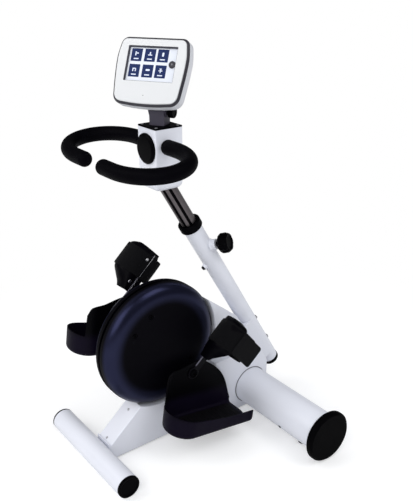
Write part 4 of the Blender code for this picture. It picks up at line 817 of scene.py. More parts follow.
def makeRearFoot():
    radius, inside, outside = rearFoot["radius"], rearFoot["inside"], rearFoot["outside"]
    wheel, sole, neck = rearFoot["wheelRadius"], rearFoot["footRadius"], rearFoot["footNeck"]
    place = at(0, rearFoot["y"], wheel)
    end, bore = inside - 0.001, radius - rearFoot["wall"]
    tube = lathed([(radius, end), (radius, -end), (bore, -end), (bore, end)], 144, 0.0005)
    piece("rearTube", tube, "white", "frame", place @ outwards(1), ["rear_foot_tube"])
    tip, hole = inside + rearFoot["axleReach"] + airGap, rearFoot["axleRadius"] + airGap
    disc = lathed([(0, outside - 0.0003), (wheel * 0.5, outside, 0.001), (wheel - 0.006, outside, 0.003),
                   (wheel, outside - 0.006, 0.003), (wheel, inside + 0.006, 0.003),
                   (wheel - 0.006, inside, 0.003), (hole, inside, 0.0004), (hole, tip, 0.0004), (0, tip)], 144)
    top = wheel - radius - airGap
    foot = lathed([(0, top), (neck, top, 0.0004), (neck, 0.0075, 0.001), (sole, 0.0060, 0.001),
                   (sole, 0.0, 0.0008), (0, 0.0)], 48)
    for name, node, side in sides:
        piece("wheel" + name, disc.copy(), "rubber", "wheel_" + node, place @ outwards(side),
              ["transport_wheel_" + node])
        piece("rearFoot" + name, foot.copy(), "rubber", "frame",
              at(side * rearFoot["footX"], rearFoot["y"], 0), ["rear_foot_" + node])
    heads = []
    for side in (1, -1):
        around = place @ at(side * rearFoot["screwX"], 0, 0) @ spin(rearFoot["screwTurn"], "X") @ spin(-90, "X")
        heads.append(moved(screwHead(0.0046, 0.0022), around @ at(0, 0, radius + 0.0001)))
    piece("tubeScrews", gathered(*heads), "darkSteel", "frame")


makeRearFoot()
print("rear foot made")


# Crank drum
drum = {"y": -0.104, "z": 0.2965, "angle": -52.5, "crank": 0.115, "radius": 0.178, "rimX": 0.0095,
        "faceX": 0.0405, "round": 0.042, "wall": 0.003, "split": 0.004, "screwRadius": 0.110,
        "screwAngle": 17.0, "eye": 0.0125, "guardX": 0.070, "guardWall": 0.0035, "armBar": 0.004,
        "spindle": 0.008, "washer": 0.0145, "head": 0.0125}
halves = (("Right", "right", Matrix()), ("Left", "left", spin(180, "Z")))
crankFrame = at(0, drum["y"], drum["z"]) @ spin(drum["angle"], "X")


def discProfile():
    rim, wall, split = drum["radius"], drum["wall"], drum["split"]
    centre = rim - drum["round"]
    crown = drum["faceX"] - drum["rimX"]
    outside, inside = [], []
    steps = 20
    for i in range(steps + 1):
        u, v = polar(1, 90 - 90 * i / steps)
        outside.append((centre + drum["round"] * u, drum["rimX"] + crown * v))
        inside.append((centre + (drum["round"] - wall) * u, drum["rimX"] + (crown - wall) * v))
    return ([(0, drum["faceX"])] + outside + [(rim, split + 0.0008), (rim - 0.0008, split), (rim - wall, split)]
            + list(reversed(inside)) + [(0, drum["faceX"] - wall)])


def makeDrumPair():
    face, angle = drum["faceX"], drum["screwAngle"]
    spots = [at(0, *polar(drum["screwRadius"], turn)) @ outwards(1)
             for turn in (angle, -angle, 180 - angle, 180 + angle)]
    recess = lathed([(0, face + 0.01), (0.0098, face + 0.01), (0.0085, face - 0.0002, 0.0006),
                     (0.0085, face - 0.0015, 0.0005), (0, face - 0.0015)], 40)
    eye = moved(pin(drum["eye"], face - 0.006, face + 0.01, 0, 48), at(0, drum["crank"], 0) @ outwards(1))
    disc = carved(moved(turned(discProfile(), 160), outwards(1)), eye, *[moved(recess, spot) for spot in spots])
    screw = screwHead(0.0062, 0.0020)
    heads = gathered(*[moved(screw, spot @ at(0, 0, face - 0.0014)) for spot in spots])
    for name, node, half in halves:
        place = crankFrame @ half
        piece("drumShell" + name, disc.copy(), "drum", "crank", place, ["crank_disc_" + node])
        piece("drumScrews" + name, heads.copy(), "black", "crank", place)


def makeSpindles():
    face, radius, washer, cap = (drum[key] for key in ("faceX", "spindle", "washer", "head"))
    hub = face + 0.0035 - airGap
    top = drum["guardX"] + drum["guardWall"] + 2 * airGap + drum["armBar"]
    inside = face - 0.003 - airGap - 0.006
    stud = lathed([(0, top + 0.0045), (0.0095, top + 0.0045, 0.0012), (cap, top + 0.0030, 0.0008),
                   (cap, top, 0.0004), (radius, top, 0.0002), (radius, hub, 0.0002), (washer, hub, 0.0005),
                   (washer, face + 0.0007, 0.0005), (radius, face + 0.0007, 0.0002), (radius, inside, 0.0005),
                   (0, inside)], 64)
    stud = carved(stud, slab(circle(0.005, 6), top + 0.0015, top + 0.02))
    for name, node, half in halves:
        place = crankFrame @ half @ at(0, drum["crank"], 0) @ outwards(1)
        piece("spindle" + name, stud.copy(), "black", "crank", place, ["pedal_spindle_" + node])


makeDrumPair()
makeSpindles()
print("drum made")


# Pedals: foot shells with their guard wall
shell = {"guardX": 0.070, "width": 0.120, "wall": 0.0035, "tilt": -8.5, "drop": 0.130, "heelY": -0.060,
         "heelDepth": 0.053, "toeY": 0.150, "toeRound": 0.017, "soleRound": 0.012, "hubRadius": 0.020,
         "guard": ((-0.0907, -0.0085), (-0.0807, 0.0122), (-0.0424, 0.0199), (-0.0046, 0.0307),
                   (0.0212, 0.0340), (0.0479, 0.0243), (0.0957, -0.0110), (0.1222, -0.0465), (0.1443, -0.0990)),
         "rim": ((-0.113, 0.063), (-0.060, 0.0526), (0.042, 0.039), (0.150, 0.0375)),
         "toeStops": (0.1443, 0.1385), "wallEnd": 0.1315, "blend": 2.5, "bore": 0.0083}


def pedalFrame(side):
    return crankFrame @ at(0, side * drum["crank"], 0) @ spin(shell["tilt"] - drum["angle"], "X")


def shellStops():
    # outline of the shell in plan, from the inner toe round the heel to the outer toe
    guardX, outerX = shell["guardX"], shell["guardX"] + shell["width"]
    middle = guardX + shell["width"] / 2
    heel, depth, toe, blend = shell["heelY"], shell["heelDepth"], shell["toeY"], shell["blend"]
    corner = toe - shell["toeRound"]
    guard, rim, drop = shell["guard"], shell["rim"], shell["drop"]
    (late, early), wallEnd = shell["toeStops"], shell["wallEnd"]
    steps = 34
    ys = [toe, late, early] + [wallEnd + (heel - wallEnd) * k / steps for k in range(steps + 1)]
    stops = []
    for y in ys:
        top = eased(guard, y) + drop if y < toe else eased(rim, y) * 0.5
        stops.append((guardX, y, (1, 0), top, (middle, y)))
    edge = math.degrees(math.asin((heel - guard[0][0]) / depth))
    turns = [edge * k / 8 for k in range(1, 9)] + [edge + 0.7, edge + 1.4, edge + blend]
    turns += [edge + blend + (180 - edge - blend) * k / 26 for k in range(1, 26)]
    for angle in turns:
        u, v = polar(1, 180 + angle)
        x, y = middle + u * shell["width"] / 2, heel + v * depth
        normal = Vector((-u / shell["width"] * 2, -v / depth)).normalized()
        low = eased(rim, y)
        share = min(max((angle - edge) / blend, 0), 1)
        share = share * share * (3 - 2 * share)
        high = eased(guard, y) + drop if angle <= edge + blend else low
        stops.append((x, y, tuple(normal), high + (low - high) * share, (middle, heel)))
    for y in reversed(ys[3:]):
        stops.append((outerX, y, (-1, 0), eased(rim, y), (middle, y)))
    for k, spineY in enumerate((early, early, late, late, toe, toe, toe)):
        angle = 15 * k
        u, v = polar(shell["toeRound"], angle)
        top = eased(rim, corner + v) * (1 - 0.35 * (angle / 90) ** 2)
        stops.append((outerX - shell["toeRound"] + u, corner + v,
                      (-u / shell["toeRound"], -v / shell["toeRound"]), top, (middle, spineY)))
    return stops


def makeFootShell():
    rows = []
    drop, soft = shell["drop"], shell["soleRound"]
    for x, y, inward, top, spine in shellStops():
        row = [(x, y, top - drop), (x, y, (top + soft) / 2 - drop)]
        for k in range(6):
            angle = math.radians(18 * k)
            inset, lift = soft * (1 - math.cos(angle)), soft * (1 - math.sin(angle))
            row.append((x + inward[0] * inset, y + inward[1] * inset, lift - drop))
        rows.append(row + [(*spine, -drop)])
    body = worked(skin(rows, closed=False, ends=False),
                  [("SOLIDIFY", {"thickness": shell["wall"], "offset": -1, "use_even_offset": True}),
                   ("BEVEL", {"width": 0.0010, "segments": 2, "limit_method": "ANGLE",
                              "angle_limit": math.radians(55)})])
    start, end = drum["faceX"] + 0.0035, shell["guardX"] + shell["wall"] / 2
    bore, outer = shell["bore"], shell["hubRadius"]
    hub = lathed([(outer, start, 0.0012), (outer, end), (bore, end), (bore, start, 0.0005)], 64)
    hole = moved(pin(bore, start - 0.01, shell["guardX"] + 0.02, 0, 64), outwards(1))
    return gathered(carved(body, hole), moved(hub, outwards(1)))


mat = {"inset": 0.013, "thick": 0.0022, "ends": (0.132, 0.138), "ribs": 17, "firstRib": -0.080, "pitch": 0.0125,
       "reach": 0.036, "ribSize": (0.0048, 0.0012), "ribLift": 0.0026}


def makeMat():
    # ribbed rubber mat on the sole
    inset, heel = mat["inset"], shell["heelY"]
    left, right = shell["guardX"] + inset, shell["guardX"] + shell["width"] - inset
    middle = (left + right) / 2
    low = shell["wall"] - shell["drop"] + 0.0002
    loop = [(right, mat["ends"][0]), (left, mat["ends"][1])]
    loop += [(middle + (right - left) / 2 * u, heel + (shell["heelDepth"] - inset) * v)
             for u, v in [polar(1, 180 + 180 * k / 20) for k in range(21)]]
    base = slab(softened(loop, [0.008, 0.004] + [0] * 21, 5), low, low + mat["thick"], 0.0006)
    ribs = []
    for k in range(mat["ribs"]):
        y = mat["firstRib"] + mat["pitch"] * k
        reach = mat["reach"]
        if y <= -0.06:          # shorter in the round heel
            reach *= math.sqrt(max(1 - ((y + 0.06) / 0.045) ** 2, 0.1))
        ribs.append(block((2 * reach, *mat["ribSize"]), (middle, y, low + mat["ribLift"]), 0.0004, 0.0022))
    return gathered(base, *ribs)


def makePedals():
    body, sole = makeFootShell(), makeMat()
    for name, node, side in sides:
        flip, place = flips[side], pedalFrame(side)
        piece("footShell" + name, moved(body, flip), "shell", "pedal_" + node, place,
              ["foot_shell_" + node], 40)
        piece("soleMat" + name, moved(sole, flip), "mat", "pedal_" + node, place)


makePedals()
print("pedals made")


# Calf guides: steel arm, moulded trough, strap
calf = {"angles": {"right": 40.0, "left": 43.0}, "bar": 0.004, "barWidth": 0.020, "barRise": 0.010,
        "barEnd": 0.178, "eye": 0.017, "start": 0.052, "end": 0.182, "width": 0.089, "depth": 0.032,
        "rim": 0.022, "wall": 0.003, "seat": (0.097, 0.163), "strapWidth": 0.070, "strapThick": 0.0025,
        "strapMiddle": 0.134, "strapLift": 0.0008, "strapSag": 0.068, "strapDrop": 0.034, "flap": 0.092,
        "rivets": (0.076, 0.168), "studs": ((0.078, 0.0245, 0.0), (0.153, 0.0235, 0.0045)),
        "edgeGlint": ((0.0032, 0.114, 0.0014), (0.0722, 0.118, 0.0092))}


def calfFrame(node, side):
    return pedalFrame(side) @ spin(calf["angles"][node] - shell["tilt"], "X")


def makeCalfArm():
    inside = shell["guardX"] + shell["wall"] + airGap
    low, high = calf["barRise"] - calf["barWidth"], calf["barRise"]
    soft, end = calf["barWidth"] * 0.4, calf["barEnd"]
    first, last = [math.degrees(math.asin(edge / calf["eye"])) for edge in (high, low)]
    loop = (bow((0, 0), calf["eye"], first, 360 + last, 48)
            + bow((end - soft, low + soft), soft, -90, 0, 10)
            + bow((end - soft, high - soft), soft, 0, 90, 10))
    bar = moved(slab(loop, inside, inside + calf["bar"], 0.0006), sideView)
    bar = carved(bar, moved(pin(shell["bore"], inside - 0.01, inside + 0.02, 0, 48), outwards(1)))
    top = inside + calf["bar"] + airGap + calf["wall"]
    rivet = lathed([(0, top + 0.0017), (0.0022, top + 0.0016, 0.001), (0.0040, top + airGap),
                    (0.0022, top + airGap), (0.0022, inside + 0.001), (0, inside + 0.001)], 32)
    height = calf["barRise"] - calf["barWidth"] / 2
    rivets = [moved(rivet, at(0, y, height) @ outwards(1)) for y in calf["rivets"]]
    return gathered(bar, *rivets)


def makeTrough():
    innerX = shell["guardX"] + shell["wall"] + 2 * airGap + calf["bar"]
    flange = calf["barRise"] - calf["barWidth"] * 0.9
    start, end, (low, high) = calf["start"], calf["end"], calf["seat"]
    # (place along the shell, share of its width, share of its depth)
    shares = ((start, 0.36, 0.10), (start + 0.012, 0.48, 0.30), (start + 0.026, 0.68, 0.62), (low, 0.92, 0.92),
              (high, 1, 1), (end - 0.016, 0.97, 0.93), (end - 0.007, 0.88, 0.80), (end, 0.62, 0.60))
    wide, deep = [[(stop[0], stop[k]) for stop in shares] for k in (1, 2)]
    ys = [start + 0.003 * k for k in range(15)] + [low + (high - low) * k / 3 for k in range(4)]
    ys += [high + (end - high) * k / 10 for k in range(1, 11)]
    rows = []
    for y in ys:
        half = calf["width"] / 2 * min(eased(wide, y), 1.0)
        depth = calf["depth"] * min(eased(deep, y), 1.0)
        row = [(innerX, y, flange), (innerX, y, (flange + calf["rim"]) / 2)]
        for k in range(33):
            u, v = polar(1, 180 - 180 * k / 32)
            row.append((innerX + half + half * u, y, calf["rim"] + depth * v))
        rows.append(row)
    return worked(skin(rows, closed=False, ends=False),
                  [("SOLIDIFY", {"thickness": calf["wall"], "offset": 1, "use_even_offset": True})])


def makeStrap():
    left = shell["guardX"] + shell["wall"]
    right = left + 4 * airGap + calf["bar"] + calf["width"]
    middle, half = (left + right) / 2, (right - left) / 2
    thick, across = calf["strapThick"], calf["strapMiddle"]
    low, high = across - calf["strapWidth"] / 2, across + calf["strapWidth"] / 2
    turns = [180 - 5 * k for k in range(37)] + [-6 * k for k in range(31)]
    stops = 12

    def spot(index, k, grow):
        # a point of the band; its edges are pinched thinner, and its hanging half sags a little
        u, v = polar(1, turns[index])
        grow += (0.0006 if grow == 0 else -0.0006) if k in (0, stops) else 0
        height, reach = calf["rim"], calf["depth"] + calf["strapLift"]
        if index > 36:
            height -= calf["strapDrop"]
            reach = calf["strapSag"] - calf["strapDrop"] - 0.0012 * (1 - math.sin(math.pi * k / stops))
        return (middle + (half + grow) * u, low + (high - low) * k / stops, height + (reach + grow) * v)

    band = looped([[spot(index, k, thick) for k in range(stops + 1)]
                   + [spot(index, k, 0) for k in range(stops, -1, -1)] for index in range(len(turns))])
    flap = block((calf["strapWidth"] - 0.004, calf["flap"], thick), (0, 0, 0), 0.0008, 0.009)
    flapZ = calf["rim"] + 0.010 - calf["flap"] / 2
    flap.transform(at(right + thick - 0.001 + thick / 2, across, flapZ) @ sideView)
    return gathered(band, flap)


def makeCalves():
    arm, trough, strap = makeCalfArm(), makeTrough(), makeStrap()
    outside = shell["guardX"] + shell["wall"] + 2 * airGap + calf["bar"]
    stud = lathed([(0, 0.0016), (0.0036, 0.0013, 0.001), (0.0048, 0), (0, 0)], 32)
    # a bright steel strip on the arm's upper edge over the strap, standing in as a painted highlight, and the
    # studs
    bright = [block(*calf["edgeGlint"], 0.0003)]
    for y, z, out in calf["studs"]:
        bright.append(moved(stud, at(outside - calf["wall"] - 0.0008 - out, y, z) @ outwards(-1)))
    studs = gathered(*bright)
    for name, node, side in sides:
        flip, place, body = flips[side], calfFrame(node, side), "calf_guide_" + node
        piece("calfArm" + name, moved(arm, flip), "armPaint", body, place, ["calf_arm_" + node])
        piece("calfTrough" + name, moved(trough, flip), "cuff", body, place,
              ["calf_shell_" + node], 40)
        piece("calfStuds" + name, moved(studs, flip), "steel", body, place)
        band = piece("calfStrap" + name, moved(strap, flip), "webbing", body, place,
                     ["calf_strap_" + node], 50)


makeCalves()
print("calf guides made")


# Column, its collar, knob and the post inside it
column = {"radius": 0.0261, "wall": 0.0022, "lean": 30.54, "footZ": 0.0869, "length": 0.6127, "capLip": 0.015,
          "post": 0.0214, "insert": 0.280, "slotWidth": 0.008, "slotDepth": 0.004,
          "slots": (-60, -15, 120, 165),
          "collar": 0.0315, "skirt": 0.014, "collarTop": 0.008, "bush": 0.060, "clampPlace": 0.523,
          "clampTurn": 35.0, "bossRadius": 0.015, "bossReach": 0.041, "knobRadius": 0.028, "knobDepth": 0.029,
          "knobReach": 0.052, "lobes": 7, "stud": 0.006, "guidePlace": 0.466, "guideRadius": 0.008,
          "guideReach": 0.032, "guideHole": 0.0033, "boltHole": 0.0043, "boltPlaces": (0.085, 0.180),
          "postRise": 0.761}
columnFrame = at(0, columnFootY, column["footZ"]) @ spin(column["lean"], "X")
postTop = (column["postRise"] - column["footZ"]) / math.cos(math.radians(column["lean"]))


def acrossColumn(place, degrees):
    return columnFrame @ at(0, 0, place) @ spin(degrees, "Z") @ spin(90, "Y")


def makeColumn():
    radius, length, lip = column["radius"], column["length"], column["capLip"]
    bore, rise = radius - column["wall"], column["bossReach"]
    clamp = acrossColumn(column["clampPlace"], column["clampTurn"])
    guide = acrossColumn(column["guidePlace"], -90)

    def boss(size, reach, fillet):
        return lathed([(0, reach), (size, reach, 0.0009), (size, radius + fillet, fillet * 0.4),
                       (size + fillet * 0.35, radius + fillet * 0.3, fillet * 0.3),
                       (size + fillet, radius - 0.0012), (0, radius - 0.002)], 64)

    tube = lathed([(radius, lip + airGap), (radius, length), (bore, length), (bore, lip + airGap)], 128, 0.0005)
    tube = carved(moved(tube, columnFrame), moved(boss(column["bossRadius"], rise, 0.003), clamp),
                  moved(boss(column["guideRadius"], column["guideReach"], 0.002), guide), operation="UNION")
    inside = column["post"] + airGap
    bolts = [moved(pin(column["boltHole"], -0.05, 0.05, 0, 32), acrossColumn(place, 90))
             for place in column["boltPlaces"]]
    tube = carved(tube, moved(pin(column["stud"] + airGap, inside - 0.004, 0.06, 0, 40), clamp),
                  moved(pin(column["guideHole"], inside - 0.004, 0.06, 0, 32), guide), *bolts)
    piece("columnTube", tube, "white", "frame", stands=["column_tube"])

    slack, outer = bore - airGap, radius + 0.001
    plug = lathed([(0, lip + 0.014), (bore - 0.003, lip + 0.014, 0.001), (slack, lip + 0.012, 0.001),
                   (slack, lip, 0.0002), (outer, lip, 0.0004), (outer, 0.0036, 0.001),
                   (radius - 0.0015, 0, 0.001), (0.004, 0, 0.0004), (0.003, 0.0012, 0.0004), (0, 0.0012)], 96)
    piece("columnPlug", plug, "black", "frame", columnFrame, ["column_bottom_cap"])

    top, skirt, low = length + column["collarTop"], length - column["skirt"], length - column["bush"]
    collar, grown = column["collar"], radius + airGap
    ring = lathed([(collar - 0.0032, top, 0.0025), (collar, top - 0.0032, 0.0025), (collar, skirt, 0.0015),
                   (grown, skirt, 0.0004), (grown, length + airGap), (slack, length + airGap),
                   (slack, low, 0.0005), (inside, low, 0.0005), (inside, top, 0.001)], 96)
    piece("columnCollar", ring, "black", "frame", columnFrame, ["column_collar"])
    makeKnob(clamp)
    head = column["guideReach"] + airGap
    screw = lathed([(0, head + 0.004), (0.0054, head + 0.004, 0.0012), (0.0060, head, 0.0004), (0.0030, head),
                    (0.0030, inside), (0, inside)], 40)
    screw = carved(screw, slab(circle(0.0026, 6), head + 0.0018, head + 0.02))
    piece("guideScrew", screw, "black", "frame", guide, ["guide_screw"])


def makeKnob(clamp):
    # lobed hand knob with a dished face
    low, high = column["knobReach"], column["knobReach"] + column["knobDepth"]
    radius, stud, base = column["knobRadius"], column["stud"], column["bossReach"] + 0.003
    tip = column["post"] + airGap
    profile = softened([(0.0, high - 0.003), (radius * 0.55, high - 0.003), (radius * 0.70, high),
                        (radius - 0.004, high), (radius, high - 0.007), (radius, low + 0.007),
                        (radius - 0.005, low), (0.0125, low - 0.001), (0.0110, base), (stud, base),
                        (stud, tip), (0, tip)],
                       [0, 0.003, 0.003, 0.003, 0.005, 0.005, 0.003, 0.003, 0.0005, 0.0002, 0.0005, 0],
                       closed=False)

    def depthAt(r, z):
        return 0.0026 * min(max((r / radius - 0.62) / 0.38, 0), 1) if low - 0.0005 < z else 0

    knob = fluted(profile, 144, column["lobes"], 3, depthAt)
    piece("clampKnob", knob, "black", "clamp", clamp, ["clamp_knob"])


def makeInnerPost():
    low, radius, depth = column["length"] - column["insert"], column["post"], column["slotDepth"]
    width, slots = column["slotWidth"], column["slots"]
    half = math.degrees(math.asin(width / 2 / radius))
    outer, inner = math.sqrt(radius ** 2 - (width / 2) ** 2), radius - depth
    loop = []
    for middle, after in zip(slots, slots[1:] + (slots[0] + 360,)):
        u, v = polar(1, middle)
        for sign in (-1, 1):
            side = (-v * sign * width / 2, u * sign * width / 2)
            loop += [(u * reach + side[0], v * reach + side[1]) for reach in (outer, inner)[::-sign]]
        start, end = middle + half + 1.5, after - half - 1.5
        steps = max(int((end - start) / 6), 2)
        loop += [polar(radius, start + (end - start) * k / steps) for k in range(steps + 1)]
    piece("innerPost", slab(loop, low, postTop, 0.0004, 1), "post", "mast", columnFrame,
          ["inner_post"], 30)
    bar = block((0.0026, width - 0.0002, postTop - low - 0.008),
                (radius - depth + 0.0014, 0, (low + postTop) / 2),
                0.0001)
    channels = gathered(*[moved(bar, spin(middle, "Z")) for middle in slots])
    piece("postSlots", channels, "black", "mast", columnFrame)


makeColumn()
makeInnerPost()
print("column made")


# Head box, its caps and the handlebar
head = {"size": 0.080, "y": -0.0706, "bottom": 0.732, "top": 0.892, "edge": 0.004, "foot": 0.016,
        "plate": 0.0035, "wall": 0.003, "solid": 0.040, "screwInset": 0.009, "capRadius": 0.0383,
        "capZ": 0.838, "capProud": 0.009}
bar = {"radius": 0.0125, "grip": 0.019, "y": -0.083, "z": 0.8465, "half": 0.2144, "frontY": -0.2585,
       "slope": 0.115, "corner": 0.130, "endX": 0.0345, "gripEnd": 0.004, "softEnds": (0.012, 0.015),
       "endCuts": (0.0004, 0.0010, 0.0020, 0.0035, 0.0055, 0.0080, 0.0110)}


def makeHead():
    y, bottom, foot, edge = head["y"], head["bottom"], head["foot"], head["edge"]
    top, half = head["top"] - head["plate"] - airGap, head["size"] / 2
    square = [(-half, -half), (half, -half), (half, half), (-half, half)]
    rings = []
    for k in range(9):          # soft lower edge
        angle = math.radians(90 * k / 8)
        inset, lift = foot * (1 - math.sin(angle)), foot * (1 - math.cos(angle))
        loop = softened(drawnIn(square, inset), max(edge, foot * 0.6 - inset * 0.2), 6)
        rings.append([(u, v, bottom + lift) for u, v in loop])
    loop, upper = softened(square, foot * 0.6, 6), softened(square, edge, 6)
    for k in range(1, 7):
        share = k / 6
        mix = [(a[0] + (b[0] - a[0]) * share, a[1] + (b[1] - a[1]) * share) for a, b in zip(loop, upper)]
        rings.append([(u, v, bottom + foot + 0.012 * share) for u, v in mix])
    rings.append([(u, v, top) for u, v in upper])
    inner, room = head["size"] - 2 * head["wall"], top - bottom - head["solid"]
    cavity = block((inner, inner, room), (0, y, top - room / 2 + 0.001))
    socket = moved(pin(column["post"] + airGap, column["length"], postTop + airGap, 0, 72), columnFrame)
    hole = moved(pin(bar["radius"] + airGap, -0.08, 0.08, 0, 48), at(0, bar["y"], bar["z"]) @ outwards(1))
    front = at(0, y - half, head["capZ"]) @ spin(90, "X")
    stem = moved(pin(0.0063, -0.02, 0.01, 0, 32), front)
    body = carved(moved(skin(rings), at(0, y, 0)), cavity, socket, hole, stem)
    piece("headBox", body, "white", "mast", stands=["head_box"])

    top, middle = head["top"], at(0, y, 0)
    plate = moved(slab(softened(square, edge, 6), top - head["plate"], top, 0.0008), middle)
    plate = carved(plate, moved(pin(0.0103, top - 0.02, top + 0.02, 0, 48), middle))
    piece("headPlate", plate, "black", "mast", stands=["head_top_plate"])
    reach = half - head["screwInset"]
    screws = [moved(screwHead(0.0040, 0.0016), at(u * reach, y + v * reach, top + 0.0001))
              for u in (-1, 1) for v in (-1, 1)]
    piece("plateScrews", gathered(*screws), "steel", "mast")

    radius, proud = head["capRadius"], head["capProud"]
    cap = lathed([(0, proud), (radius - 0.006, proud - 0.0006, 0.004), (radius, proud - 0.0045, 0.003),
                  (radius, airGap, 0.0006), (0.006, airGap, 0.0003), (0.006, -0.010, 0.0005), (0, -0.010)], 96)
    piece("headCap", cap, "black", "mast", front, ["head_front_cap"])


def barHeight(y):
    return bar["z"] - bar["slope"] * (bar["y"] - y)


def barPath(start):
    # right half of the loop's centre line, from near the head to the front end
    wide, back, front = bar["half"], bar["y"], bar["frontY"]
    reach, middle = bar["corner"], (back + front) / 2
    points = [(start + (wide - reach - start) * k / 6, back) for k in range(6)]
    for k in range(45):
        u, v = polar(1, 90 - 180 * k / 44)
        points.append((wide - reach + reach * u, middle + (back - middle) * v))
    points += [(wide - reach + (bar["endX"] - wide + reach) * k / 10, front) for k in range(1, 11)]
    made = [points[0]]
    for point in points[1:]:
        if math.dist(point, made[-1]) > 0.0005:
            made.append(point)
    return [(x, y, barHeight(y)) for x, y in made]


def makeBar():
    right = barPath(0.0)
    path = [(-x, y, z) for x, y, z in reversed(right[1:])] + right
    piece("barTube", swept(path, circle(bar["radius"], 32)), "steel", "mast", stands=["handlebar"])
    # foam sleeve with round ends
    line = barPath(head["size"] / 2 + airGap)
    line.append((bar["endX"] - bar["gripEnd"], line[-1][1], line[-1][2]))
    reach = [0.0]
    for a, b in zip(line, line[1:]):
        reach.append(reach[-1] + math.dist(a, b))
    total = reach[-1]

    def along(wanted):
        i = max(j for j in range(len(reach) - 1) if reach[j] <= wanted + 1e-9)
        return Vector(line[i]).lerp(Vector(line[i + 1]), (wanted - reach[i]) / (reach[i + 1] - reach[i]))

    places = [total * (k / 160) for k in range(161)]
    for cut in bar["endCuts"]:
        places += [cut, total - cut]
    places.sort()
    points = [along(wanted) for wanted in places]
    rings = []
    up = Vector((0, 0, 1))
    for index, (point, wanted) in enumerate(zip(points, places)):
        heading = (points[min(index + 1, len(points) - 1)] - points[max(index - 1, 0)]).normalized()
        up = (up - heading * up.dot(heading)).normalized()
        side = heading.cross(up)
        soft, size, edge = bar["softEnds"][wanted > total / 2], bar["grip"], min(wanted, total - wanted)
        if edge < soft:
            size -= soft * (1 - math.sqrt(max(1 - (1 - edge / soft) ** 2, 0)))
        rings.append([point + side * u + up * v for u, v in circle(size, 48)])
    # the sleeve is hollow: the steel tube passes through it, and stops short of the closed end
    bore = swept(right[:-1] + [(bar["endX"] - airGap, *right[-1][1:])], circle(bar["radius"] + airGap, 32))
    grip = carved(skin(rings), bore)
    for name, node, side in sides:
        sleeve = piece("gripSleeve" + name, moved(grip, flips[side]), "foam", "mast",
                       stands=["grip_" + node], crease=50)


makeHead()
makeBar()
print("head made")


# Console on its neck
console = {"neckWidth": 0.040, "neckDepth": 0.036, "tiltZ": 0.925, "swivel": 30.4, "tilt": 26.9,
           "reach": 0.0618, "rise": 0.0954, "shift": -0.0145, "halfWidth": 0.0952, "widest": 0.010,
           "topHalf": 0.0905, "bottomHalf": 0.089, "top": 0.066, "bottom": -0.103, "bottomBow": 0.004,
           "topRound": 0.020, "bottomRound": 0.026, "bezel": 0.013, "gasket": 0.003, "rear": 0.024,
           "wall": 0.003, "panelWidth": 0.130, "panelHeight": 0.0865, "panelDepth": 0.0035,
           "screenThick": 0.0015, "buttonRadius": 0.0085, "buttonX": 0.0552, "buttonZ": 0.0011,
           "travel": 0.0015, "faceInset": 0.0056, "bandDepth": 0.0072, "led": (-0.005, -0.077),
           "knobRadius": 0.015, "knobDepth": 0.014, "knobReach": 0.027, "flutes": 16, "boltRadius": 0.004}
swivelFrame = at(0, head["y"], head["top"]) @ spin(console["swivel"], "Z")
neckRise = console["tiltZ"] - head["top"]
tiltFrame = swivelFrame @ at(0, 0, neckRise) @ spin(-console["tilt"], "X")
faceFrame = tiltFrame @ Matrix(((1, 0, 0, 0), (0, 0, -1, 0), (0, 1, 0, 0), (0, 0, 0, 1)))


def consoleLoop(inset):
    # the case seen from the front, drawn in by inset: bowed edges, round corners
    low, widest, high = (console[key] - inset for key in ("bottomHalf", "halfWidth", "topHalf"))
    top, bottom = console["top"] - inset, console["bottom"] + inset
    corner = bottom + console["bottomBow"]
    upper = max(console["topRound"] - inset, 0.004)
    lower = max(console["bottomRound"] - inset, 0.004)
    right = bow((low - lower, corner + lower), lower, -84, -4, 12)
    start, end = right[-1], (high, top - upper)
    for k in range(1, 12):          # bowed side through its widest place
        share = k / 12
        z = start[1] + (end[1] - start[1]) * share
        ends = start[0] + (end[0] - start[0]) * share
        middle = (console["widest"] - start[1]) / (end[1] - start[1])
        lift = widest - (start[0] + (end[0] - start[0]) * middle)
        side = share / middle if share < middle else (1 - share) / (1 - middle)
        right.append((ends + lift * math.sin(math.pi / 2 * min(side, 1)), z))
    right += bow((high - upper, top - upper), upper, 4, 88, 12)
    crown = [(x, top + 0.0006 * (1 - (x / high) ** 2)) for x in (0.05, 0.025)]
    foot = []
    for x in (0.02, 0.04):
        foot.append((x, bottom + console["bottomBow"] * (x / (low - lower)) ** 2 * 0.95))
    half = foot + right + [(x, min(z, top)) for x, z in crown]
    loop = [(0, bottom)] + half + [(0, top)] + [(-x, z) for x, z in reversed(half)]
    return [(x + console["shift"], z + console["rise"]) for x, z in loop]


def rectangle(width, height, x, z, corner=0.0, steps=4):
    x += console["shift"]
    z += console["rise"]
    u, v = width / 2, height / 2
    loop = [(x - u, z - v), (x + u, z - v), (x + u, z + v), (x - u, z + v)]
    return softened(loop, corner, steps) if corner else loop


def stack(stops):
    # rings of the console outline at (inset, height)
    return [[(x, z, height) for x, z in consoleLoop(inset)] for inset, height in stops]


